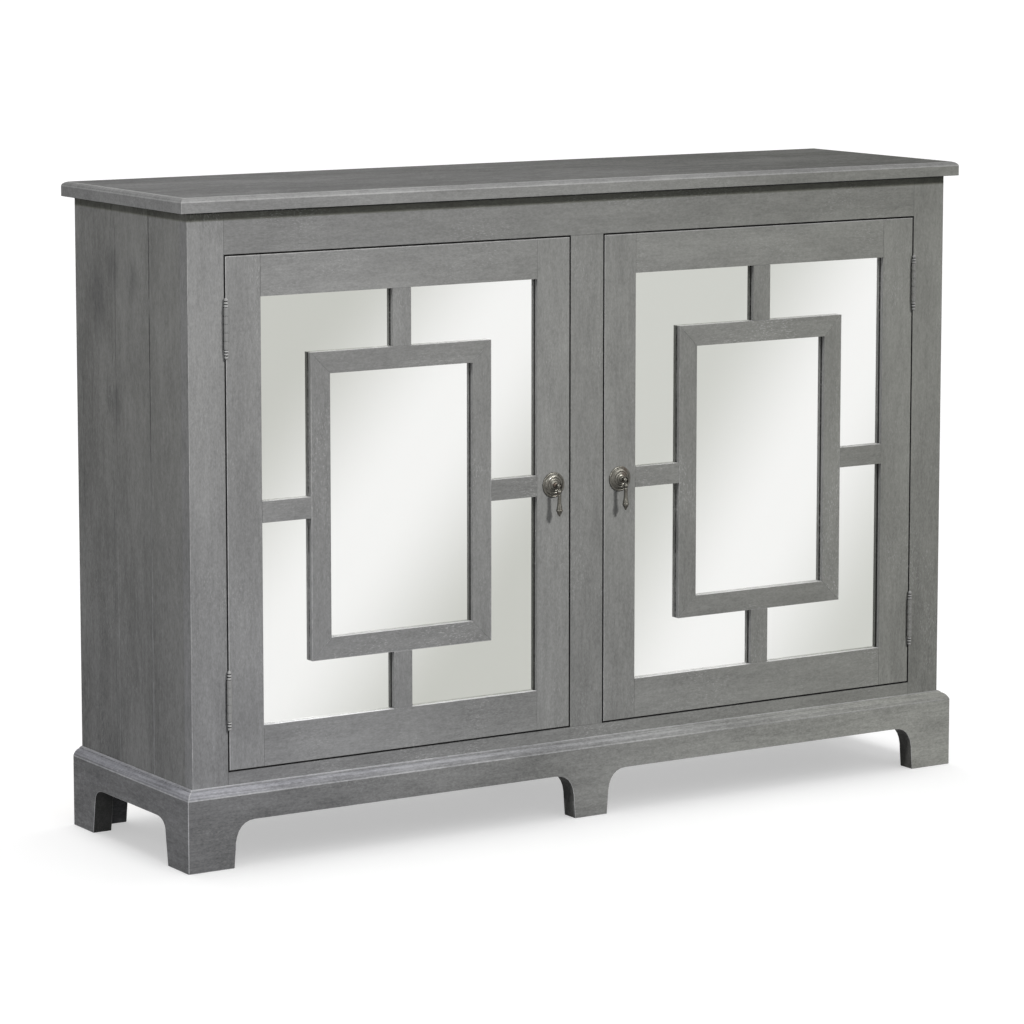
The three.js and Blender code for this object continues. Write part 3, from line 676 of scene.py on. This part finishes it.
# Metals. Marks per metre are their size, and depth is in mm. The attribute ridge is 1 on the
# crests of a turning and -1 in its grooves.
metalLook = {
    "pewter": {"crest": (0.55, 0.54, 0.49, 1), "bright": (0.125, 0.12, 0.105, 1),
               "dark": (0.04, 0.038, 0.033, 1), "rust": (0.13, 0.075, 0.055, 1),
               "outlineShade": (0.03, 0.029, 0.025, 1), "rough": 0.36, "metallic": 1.0, "size": 240},
    "iron": {"crest": (0.30, 0.29, 0.28, 1), "bright": (0.14, 0.14, 0.135, 1),
             "dark": (0.05, 0.048, 0.045, 1), "rust": (0.12, 0.075, 0.055, 1),
             "outlineShade": (0.05, 0.048, 0.045, 1), "rough": 0.45, "metallic": 0.9, "size": 160},
}
dentDepth = 0.1
# The way that painted light comes from on the metals
paintedLightSide = (-0.42, -0.45, 0.79)


def ridgeOf(tree):
    return addNode(tree, "Attribute", {}, attribute_name="ridge").outputs["Fac"]


# Painted light: the side that looks up and to the left is painted brighter, and the outline is
# painted dark as painted shade.
def makeMetal(name, look):
    material, tree, shader = newMaterial(name)
    place = objectPlace(tree)
    cloud = noise(place, look["size"], 4.0, 0.75)
    grains = noise(place, look["size"] * 6, 2.0, 0.6)
    normal = addNode(tree, "NewGeometry", {}).outputs["Normal"]
    toward = addVectorMath("DOT_PRODUCT", normal, paintedLightSide)["Value"]
    wornAndLit = plus(times(cloud, 1.1), times(ridgeOf(tree), 0.07))
    wornAndLit = plus(wornAndLit, times(toward, 0.36))
    colour = mix(ramp(wornAndLit, 0.4, 0.85), look["dark"], look["bright"])
    colour = mix(ramp(wornAndLit, 0.85, 1.15), colour, look["crest"])
    rusty = ramp(noise(place, look["size"] * 0.3, 3.0, 0.6), 0.56, 0.7)
    colour = mix(times(rusty, 0.35), colour, look["rust"])
    edge = addNode(tree, "LayerWeight", {"Blend": 0.35}).outputs["Facing"]
    colour = mix(ramp(edge, 0.4, 0.85, 0.0, 0.85), colour, look["outlineShade"])
    worn = plus(wornAndLit, times(grains, 0.4))
    dents = plus(grains, times(cloud, 3.0))
    fill(shader, {
        "Base Color": colour, "Metallic": look["metallic"],
        "Roughness": ramp(worn, 0.7, 1.4, look["rough"] + 0.2, look["rough"] - 0.08),
        "Normal": bump(dents, 0.6, dentDepth * mm)})
    return material


pewter = makeMetal("agedPewter", metalLook["pewter"])
iron = makeMetal("darkIron", metalLook["iron"])

# Colours of the painted iron at the left and right ends; the right end's darker, warmer grey is
# painted shade
ironPaint = {"base": (grey(0.26), grey(0.19, (1.0, 1.0, 0.95))), "fleck": grey(0.3),
             "groove": grey(0.03), "crest": (grey(0.45), grey(0.32)), "ends": (-0.6, 0.6)}


# Painted iron: the grey of the wood, with painted shade towards the right, rubbed to a pale coat
# on the crests and bare in the grooves.
def makePaintedIron(look):
    material, tree, shader = newMaterial("paintedIron")
    place = objectPlace(tree)
    grain = noise(place, 420, 3.0, 0.65)
    rubbed = plus(ridgeOf(tree), minus(grain, 0.5))
    far = ramp(axes(place)["X"], *look["ends"])
    colour = mix(ramp(grain, 0.35, 0.65, 0.0, 0.5), mix(far, *look["base"]), look["fleck"])
    colour = mix(fadeOut(rubbed, -0.55, -0.15), colour, look["groove"])
    colour = mix(ramp(rubbed, 0.2, 0.6), colour, mix(far, *look["crest"]))
    fill(shader, {"Base Color": colour, "Roughness": ramp(grain, 0.3, 0.7, 0.6, 0.45),
                  "Specular IOR Level": 0.2, "Normal": bump(grain, 0.5, 0.12 * mm)})
    return material


paintedIron = makePaintedIron(ironPaint)
for hand in ("left", "right"):
    dress(f"catch_{hand}", iron)


# Meshes for the fittings, in mm. A part is its points, its faces and the ridge at each point.
# Turning: a profile of radius r and height h goes round the axis in equal steps of the angle a:
# x = r cos(a), y = r sin(a), z = h. Its ridge is how sharply the profile bends outwards.
def turned(profile, sides=40, rounds=2, ridged=1.0, raised=0.0):
    profile = np.asarray(profile, float)
    for _ in range(rounds):
        cut = np.stack([0.75 * profile[:-1] + 0.25 * profile[1:],
                        0.25 * profile[:-1] + 0.75 * profile[1:]], axis=1).reshape(-1, 2)
        profile = np.concatenate([profile[:1], cut, profile[-1:]])
    step = np.diff(profile, axis=0)
    heading = np.unwrap(np.arctan2(step[:, 1], step[:, 0]))
    bend = np.concatenate([[0.0], np.diff(heading), [0.0]])
    bend = np.convolve(np.pad(bend, 2), [0.15, 0.2, 0.3, 0.2, 0.15], mode="valid")
    ridge = np.clip(bend / 0.22, -1, 1) * ridged + raised
    angle = np.linspace(0, 2 * np.pi, sides, endpoint=False)
    radius, height = profile.T
    points = np.stack([np.outer(radius, np.cos(angle)), np.outer(radius, np.sin(angle)),
                       np.repeat(height[:, None], sides, axis=1)], axis=-1).reshape(-1, 3)
    return points, gridFaces(len(profile), sides), np.repeat(ridge, sides)


# Quads of a closed grid: each joins two neighbours in a row to the same two in the next row.
def gridFaces(rows, columns):
    index = np.arange(rows * columns).reshape(rows, columns)
    after = np.roll(index, -1, axis=1)
    quads = np.stack([index[:-1], after[:-1], after[1:], index[1:]], axis=-1)
    return quads.reshape(-1, 4).tolist()


def block(low, high, ridge=0.0):
    pick = np.array([(0, 0, 0), (1, 0, 0), (1, 1, 0), (0, 1, 0),
                     (0, 0, 1), (1, 0, 1), (1, 1, 1), (0, 1, 1)])
    faces = [[0, 3, 2, 1], [4, 5, 6, 7], [0, 1, 5, 4], [1, 2, 6, 5], [2, 3, 7, 6], [3, 0, 4, 7]]
    return np.where(pick == 1, high, low), faces, np.full(8, ridge)


def joined(parts):
    points, faces, ridges, start = [], [], [], 0
    for part, partFaces, ridge in parts:
        points.append(part)
        ridges.append(ridge)
        faces += [[start + i for i in face] for face in partFaces]
        start += len(part)
    return np.concatenate(points), faces, np.concatenate(ridges)


# Slotted screw head: two halves of a dome stand on a disc, with the slot between them. A half is
# three arcs, with x = r cos(a), y = r sin(a) and the angle a from one end of the slot to the
# other: the foot, the shoulder above it and a smaller one at the top.
def screwHead(radius, rise, turn=0.0):
    slot = 0.16 * radius
    start = math.asin(slot / radius)
    steps, sides = 7, 12
    angle = np.linspace(start, np.pi - start, steps)
    edge = np.stack([np.cos(angle), np.sin(angle)], axis=-1) * radius
    inner = edge * 0.78
    inner[:, 1] = np.maximum(inner[:, 1], slot)
    half = np.concatenate([np.c_[edge, np.zeros(steps)], np.c_[edge, np.full(steps, rise * 0.45)],
                           np.c_[inner, np.full(steps, rise)]])
    faces = gridFaces(3, steps) + [list(range(2 * steps, 3 * steps))]
    angle = np.linspace(0, 2 * np.pi, sides, endpoint=False)
    disc = np.stack([np.cos(angle) * radius * 0.96, np.sin(angle) * radius * 0.96,
                     np.full(sides, rise * 0.2)], axis=-1)
    parts = [(half, faces, np.full(3 * steps, 0.4)),
             (half * (-1, -1, 1), faces, np.full(3 * steps, 0.4)),
             (disc, [list(range(sides))], np.full(sides, -1.0))]
    points, faces, ridge = joined(parts)
    spin = np.array([[math.cos(turn), math.sin(turn), 0], [-math.sin(turn), math.cos(turn), 0],
                     [0, 0, 1]])
    return points @ spin, faces, ridge


# Ways that a part's own z axis can point. The rows are what its x, y and z axes become.
rotations = {
    "up": [[1, 0, 0], [0, 1, 0], [0, 0, 1]],
    "front": [[1, 0, 0], [0, 0, 1], [0, -1, 0]],
    "back": [[-1, 0, 0], [0, 0, 1], [0, 1, 0]],
    "left": [[0, -1, 0], [0, 0, 1], [-1, 0, 0]],
    "right": [[0, 1, 0], [0, 0, 1], [1, 0, 0]],
}


def moved(part, direction, place):
    points, faces, ridge = part
    return points @ rotations[direction] + np.asarray(place, float), faces, ridge


def makeFitting(name, parts, material, body, replaced=()):
    points, faces, ridge = joined(parts)
    mesh = bpy.data.meshes.new(name)
    mesh.from_pydata((points * mm).tolist(), [], faces)
    mesh.attributes.new("ridge", "FLOAT", "POINT").data.foreach_set("value", ridge)
    shape = bmesh.new()
    shape.from_mesh(mesh)
    bmesh.ops.remove_doubles(shape, verts=shape.verts, dist=0.001 * mm)
    # A face that stands alone, as the disc in a screw's slot does, points the right way already.
    shells = [face for face in shape.faces if any(len(edge.link_faces) > 1 for edge in face.edges)]
    bmesh.ops.recalc_face_normals(shape, faces=shells)
    shape.to_mesh(mesh)
    shape.free()
    mesh.shade_smooth()
    mesh.set_sharp_from_angle(angle=math.radians(38))
    mesh.materials.append(material)
    piece = bpy.data.objects.new(name, mesh)
    scene.collection.objects.link(piece)
    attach(piece, body)
    if replaced:
        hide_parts(*replaced)


# Drop handles. Profiles run from the outside in or from the foot up, in mm.
handleLook = {
    "rosette": [(19, 0), (19, 0.9), (18.5, 1.7), (17.3, 2.1), (16.5, 1.7), (16.0, 1.8),
                (15.2, 2.7), (14.2, 3.5), (13.1, 4.1), (12.0, 4.5), (11.3, 4.3), (10.9, 3.9),
                (10.3, 4.1), (9.5, 4.9), (8.6, 5.4), (7.9, 5.2), (7.5, 4.9), (6.9, 5.3),
                (6.0, 6.0), (5.0, 6.4), (3.6, 6.5), (2.8, 6.3), (2.8, 5.0)],
    "collar": [(0, 6.0), (3.9, 6.0), (3.9, 6.6), (4.3, 6.9), (4.3, 8.2), (3.7, 8.8), (2.7, 9.0),
               (2.6, 10.5), (2.6, 12.6), (3.2, 13.2), (3.6, 13.9), (3.6, 14.3), (0, 14.3)],
    "foot": 0.3,  # behind the back of the CAD's rosette
    "ball": 4.3,
    "slot": 1.45,
    "proud": 17.0,
    "drop": [(0, -45.5), (0.9, -45.3), (1.35, -44.6), (1.8, -43.5), (2.6, -41.8), (3.4, -40.2),
             (4.0, -38.9), (4.4, -38.1), (4.2, -37.7), (4.75, -37.3), (5.0, -36.8), (5.0, -35.9),
             (4.75, -35.4), (4.2, -35.0), (4.3, -34.4), (4.2, -33.4), (3.9, -31.8), (3.5, -29.6),
             (3.1, -27.0), (2.9, -24.5), (2.8, -21.0), (2.75, -17.0), (2.8, -14.0), (2.7, -12.6),
             (2.1, -12.1), (2.05, -11.7), (2.7, -11.2), (3.25, -10.2), (3.45, -9.0),
             (3.4, -7.9), (3.0, -6.8), (2.2, -5.9), (1.2, -5.3), (1.15, -2.0), (0, -2.0)],
    "eye": [(1.0, -1.15), (2.1, -1.15), (2.4, -0.85), (2.4, 0.85), (2.1, 1.15), (1.0, 1.15)],
    "pin": [(0, -3.3), (0.8, -3.3), (0.9, -3.0), (0.9, 3.0), (0.8, 3.3), (0, 3.3)],
    "bolt": [(0, -21.5), (2.4, -21.5), (2.4, -19.8), (0, -19.8)],
    "nut": [(0, -23.5), (3.6, -23.5), (4.4, -22.9), (4.4, -21.2), (0, -21.2)],
    "washer": [(0, -21.3), (4.3, -21.3), (4.5, -21.0), (4.5, -20.2), (0, -20.2)],
}


# One half of the slotted ball: a cap of the sphere, cut flat at the slot. Its profile is r sin(a)
# out and r cos(a) up, with the angle a from the slot to the pole.
def ballCheek(radius, slot):
    angle = np.linspace(math.acos(slot / radius), 0, 12)
    arc = np.stack([radius * np.sin(angle), radius * np.cos(angle)], axis=-1)
    # A raised ridge makes the ball paler on the pewter, a painted highlight.
    return turned([(0, slot)] + arc.tolist(), 32, 0, 0.0, 1.2)


def makeHandle(hand, look):
    low, high = cornersOf(f"handle_{hand}_rosette")
    x, face, z = (low[0] + high[0]) / 2, high[1], (low[2] + high[2]) / 2
    foot = (x, face + look["foot"], z)
    ball = (x, foot[1] - look["proud"], z)
    body = f"door_{hand}"
    rosette = turned(look["rosette"], 72, 2, 0.6)
    makeFitting(f"rosette_{hand}", [moved(rosette, "front", (x, face, z))], pewter, body,
                [f"handle_{hand}_rosette"])
    # A lowered ridge makes the collar darker, painted shade beside the ball.
    shank = [turned(look["collar"], 40, 2, 0.3, -1.2), turned(look["bolt"], 24),
             turned(look["washer"], 24), turned(look["nut"], 6, 0)]
    parts = [moved(part, "front", foot) for part in shank]
    for direction in ("left", "right"):
        parts.append(moved(ballCheek(look["ball"], look["slot"]), direction, ball))
    parts.append(moved(turned(look["pin"], 16, 0), "right", ball))
    makeFitting(f"knob_{hand}", parts, pewter, body, [f"handle_{hand}_post"])
    parts = [moved(turned(look["drop"], 40), "up", ball),
             moved(turned(look["eye"], 32, 0), "right", ball)]
    makeFitting(f"drop_{hand}", parts, pewter, f"handle_pendant_{hand}",
                [f"pendant_{hand}"])


for hand in ("left", "right"):
    makeHandle(hand, handleLook)
print("handles turned")

# Butt hinges: leaves let into both stiles, five knuckles round a pin, beaded finials. A screw's
# place is how far behind the front and above the lower end it is.
hingeLook = {
    "knuckles": 5,
    "knuckle": 12.0,
    "radius": 3.4,
    "proud": 3.7,
    "gap": 0.1,
    "finial": [(2.2, 0), (2.2, 0.5), (2.9, 1.1), (3.1, 2.1), (2.9, 3.1), (2.1, 3.7), (2.0, 4.6),
               (2.7, 5.2), (3.0, 6.3), (2.7, 7.4), (2.0, 8.0), (1.9, 8.9), (2.4, 9.4),
               (2.7, 10.5), (2.5, 11.9), (1.9, 13.0), (1.0, 13.8), (0, 14.0)],
    "thick": 1.6,
    "deep": 17.0,
    "screwPlaces": ((6.5, 10.0), (10.5, 30.0), (6.5, 50.0)),
    "screw": (2.6, 0.4),
}


# A knuckle is a plain barrel with a chamfer at each end.
def knuckle(low, high, radius, gap, chamfer=0.5):
    low, high = low + gap, high - gap
    return turned([(0, low), (radius - chamfer, low), (radius, low + chamfer),
                   (radius, high - chamfer), (radius - chamfer, high), (0, high)], 28, 1, 0.0)


# A leaf lies against its stile's edge and has every second knuckle. The frame's has the finials.
def makeHingeLeaf(hand, place, owner):
    look, gap = hingeLook, hingeLook["gap"]
    side = -1 if hand == "left" else 1
    box = cornersOf(f"hinge_{hand}_{place}_door_leaf")
    doorEdge = cornersOf("door_right_hinge_stile")[1][0]
    openingEdge = cornersOf("frame_stile_right")[0][0]
    middle, length = (box[0][2] + box[1][2]) / 2, look["knuckles"] * look["knuckle"]
    low, high = middle - length / 2, middle + length / 2
    axisX, axisY = side * (doorEdge + openingEdge) / 2, frontFace - look["proud"]
    onDoor = owner == "door"
    near = doorEdge if onDoor else openingEdge
    far = near - look["thick"] if onDoor else near + look["thick"]
    x = sorted((side * near, side * far))
    # The leaf's ridge of -1 gives it the near-black of the grooves, painted shade beside the
    # barrel.
    parts = [block((x[0], frontFace, low + gap), (x[1], frontFace + look["deep"], high - gap), -1)]
    for i in range(1 if onDoor else 0, look["knuckles"], 2):
        ends = (low + i * look["knuckle"], low + (i + 1) * look["knuckle"])
        barrel = knuckle(*ends, look["radius"], gap)
        parts.append(moved(barrel, "up", (axisX, axisY, 0)))
        # So does the block that joins each knuckle to the leaf.
        parts.append(block((x[0], axisY + 1.5, ends[0] + 1.5 * gap),
                           (x[1], frontFace + 0.5, ends[1] - 1.5 * gap), -1))
    outward = "left" if (side < 0) == onDoor else "right"
    for deep, up in look["screwPlaces"]:
        head = screwHead(*look["screw"], 0.7 * up)
        parts.append(moved(head, outward, (side * near, frontFace + deep, low + up)))
    if not onDoor:
        points, faces, ridge = turned(look["finial"], 28)
        for end, flip in ((high, 1), (low, -1)):
            finial = (points * (1, 1, flip), faces, ridge)
            parts.append(moved(finial, "up", (axisX, axisY, end)))
    makeFitting(f"hinge_{hand}_{place}_{owner}", parts, paintedIron,
                f"door_{hand}" if onDoor else "carcass",
                [f"hinge_{hand}_{place}_{owner}_leaf"])


for hand in ("left", "right"):
    for place in ("top", "bottom"):
        for owner in ("door", "frame"):
            makeHingeLeaf(hand, place, owner)
print("hinges made")

# Small fittings: strike plates, catch screws, clips behind the mirrors, and nails in the back.
# Plates are width, height and thickness, and screws radius and rise. The heights are in the frame.
fittingLook = {
    "strike": (40.0, 9.0, 0.12),
    "strikeHeight": 871.9,
    "letIn": 0.4,
    "catchScrew": (2.4, 0.9),
    "catchScrews": (-16.0, 16.0),
    "catchScrewHeight": 888.0,
    "clip": (9.0, 16.0, 1.0),
    "clipPlaces": (0.18, 0.5, 0.82),
    "clipScrew": (2.4, 0.8),
    "nail": [(1.9, 0), (1.9, 0.35), (1.4, 0.7), (0, 0.85)],
    "nailPitch": 112.0,
    "nailInset": 7.0,
}


# The strike plate lies on the door's back, and two screws hold the catch.
def makeCatch(hand, look):
    wide, high, thick = look["strike"]
    low, top = cornersOf(f"catch_{hand}")
    x, z = (low[0] + top[0]) / 2, look["strikeHeight"]
    plate = block((x - wide / 2, doorBack - look["letIn"], z - high / 2),
                  (x + wide / 2, doorBack + thick, z + high / 2))
    makeFitting(f"strike_{hand}", [plate], iron, f"door_{hand}")
    parts = []
    for across in look["catchScrews"]:
        head = screwHead(*look["catchScrew"], 0.5 + 0.03 * across)
        parts.append(moved(head, "back", (x + across, top[1], look["catchScrewHeight"])))
    makeFitting(f"catch_screws_{hand}", parts, iron, "carcass")


# A clip lies over the edge of the backing, screwed to the door's frame.
def makeClips(hand, look):
    wide, high, thick = look["clip"]
    low, top = cornersOf(f"door_{hand}_mirror_backing")
    face = doorBack + thick
    parts = []
    for share in look["clipPlaces"]:
        z = low[2] + share * (top[2] - low[2])
        for edge, into in ((low[0], 1), (top[0], -1)):
            x = sorted((edge - into * high * 0.65, edge + into * high * 0.35))
            parts.append(block((x[0], doorBack, z - wide / 2), (x[1], face, z + wide / 2)))
            head = screwHead(*look["clipScrew"], share * 3)
            parts.append(moved(head, "back", (edge - into * high * 0.3, face, z)))
    makeFitting(f"mirror_clips_{hand}", parts, iron, f"door_{hand}")


def makeBackNails(look):
    low, high = cornersOf("back_panel")
    across, up = [np.linspace(low[axis] + look["nailInset"], high[axis] - look["nailInset"],
                              round((high[axis] - low[axis]) / look["nailPitch"]))
                  for axis in (0, 2)]
    places = [(x, z) for x in across for z in (up[0], up[-1])]
    places += [(x, z) for x in (across[0], across[-1]) for z in up[1:-1]]
    nail = turned(look["nail"], 12, 0)
    parts = [moved(nail, "back", (x, high[1], z)) for x, z in places]
    makeFitting("back_nails", parts, iron, "carcass")


for hand in ("left", "right"):
    makeCatch(hand, fittingLook)
    makeClips(hand, fittingLook)
makeBackNails(fittingLook)
print("small fittings made")

# Floor
floorLook = {"half": 40.0, "colour": (0.62, 0.62, 0.62, 1), "bounce": (0.12, 0.12, 0.12, 1),
             "glow": 0.475}


# 1 for what the camera sees, directly or mirrored
def seenShare(ray):
    return larger(ray["Is Camera Ray"], ray["Is Glossy Ray"])


# The floor glows a little for the camera, and gives the object little light from below.
def makeFloor(settings):
    half = settings["half"]
    mesh = bpy.data.meshes.new("studioFloor")
    mesh.from_pydata([(-half, -half, 0), (half, -half, 0), (half, half, 0), (-half, half, 0)],
                     [], [(0, 1, 2, 3)])
    floor = bpy.data.objects.new("studioFloor", mesh)
    scene.collection.objects.link(floor)
    material, tree, shader = newMaterial("studioFloor")
    seen = seenShare(addNode(tree, "LightPath", {}).outputs)
    fill(shader, {"Base Color": mix(seen, settings["bounce"], settings["colour"]),
                  "Roughness": 1.0, "Specular IOR Level": 0.0, "Emission Color": (1, 1, 1, 1),
                  "Emission Strength": times(seen, settings["glow"])})
    mesh.materials.append(material)
    return floor


floor = makeFloor(floorLook)

# Lamps: suns by the direction they come from, and a soft panel near the left corner. The light
# over the floor is a broad one, a low one on the right and an arc of suns from front to back. It
# is shaded by the lowest pieces alone, so the shadow keeps to the feet and is short at the ends.
# The back one stands below the floor's level, where it adds no sheen to the top.
white = (1.0, 1.0, 1.0)
lampLook = {
    "rightKey": {"to": (7, -17, 12.3), "strength": 2.35, "spread": 9.0,
                 "colour": (1.0, 0.995, 0.975), "lights": "object"},
    "leftSide": {"to": (-16, -3, 11.5), "strength": 1.25, "spread": 6.0,
                 "colour": (1.0, 1.0, 0.99), "lights": "object"},
    "backFill": {"to": (9, 16, -1.2), "strength": 2.8, "spread": 6.0, "colour": white,
                 "lights": "object"},
    "floorDome": {"to": (0.5, 4, 20), "strength": 0.95, "spread": 145.0, "colour": white,
                  "lights": "floor"},
    "floorRight": {"to": (16, 3, 13), "strength": 0.45, "spread": 40.0, "colour": white,
                   "lights": "floor"},
}
floorArc = {"leans": (-48, -28, -8, 12, 32, 52, 70),
            "strengths": (0.36, 0.34, 0.28, 0.27, 0.28, 0.28, 0.25),
            "toRight": 0.06, "spread": 34.0}
for lean, strength in zip(floorArc["leans"], floorArc["strengths"]):
    to = (floorArc["toRight"], math.sin(math.radians(lean)), math.cos(math.radians(lean)))
    lampLook[f"floorArc{lean + 50}"] = {"to": to, "strength": strength, "colour": white,
                                        "spread": floorArc["spread"], "lights": "floor"}
lowestPieces = ("plinth_front", "plinth_left", "plinth_right", "plinth_back", "floor_board",
                "frame_bottom_rail")


# A lamp's collections light the floor alone, or all but the floor.
def makeLamp(name, kind, settings, to):
    data = bpy.data.lights.new(name, kind)
    data.energy = settings["strength"]
    data.color = settings["colour"]
    lamp = bpy.data.objects.new(name, data)
    lamp.rotation_euler = Vector(to).to_track_quat("Z", "Y").to_euler()
    scene.collection.objects.link(lamp)
    lit = bpy.data.collections.new(f"{name}Lights")
    lit.objects.link(floor)
    lamp.light_linking.receiver_collection = lit
    if settings["lights"] == "object":
        lit.collection_objects[0].light_linking.link_state = "EXCLUDE"
    return lamp, data, lit


def makeSun(name, settings):
    lamp, data, shading = makeLamp(name, "SUN", settings, settings["to"])
    data.angle = math.radians(settings["spread"])
    if settings["lights"] == "floor":
        shading = bpy.data.collections.new(f"{name}Shading")
        for piece in lowestPieces:
            shading.objects.link(nodes[piece])
    lamp.light_linking.blocker_collection = shading


for name, settings in lampLook.items():
    makeSun(name, settings)

panelLook = {"place": (-1.9, -2.6, 1.1), "aim": (-0.35, 0.0, 0.5), "size": 1.6,
             "strength": 19.0, "colour": (0.98, 0.99, 1.0), "lights": "object"}


def makePanel(settings):
    toward = Vector(settings["place"]) - Vector(settings["aim"])
    lamp, data, _ = makeLamp("leftPanel", "AREA", settings, toward)
    data.shape = "SQUARE"
    data.size = settings["size"]
    lamp.location = settings["place"]
    lamp.visible_glossy = False


makePanel(panelLook)

roomLight = 0.08


# The room is white where it is seen or mirrored, and adds only a little soft light.
def makeRoom(strength):
    world = bpy.data.worlds.new("studioRoom")
    scene.world = world
    world.use_nodes = True
    ray = addNode(world.node_tree, "LightPath", {}).outputs
    seen = larger(seenShare(ray), ray["Is Transmission Ray"])
    fill(world.node_tree.nodes["Background"],
         {"Color": (1, 1, 1, 1), "Strength": ramp(seen, 0.0, 1.0, strength, 1.0)})


makeRoom(roomLight)
scene.view_settings.view_transform = "Standard"
print("floor, lamps and room set")
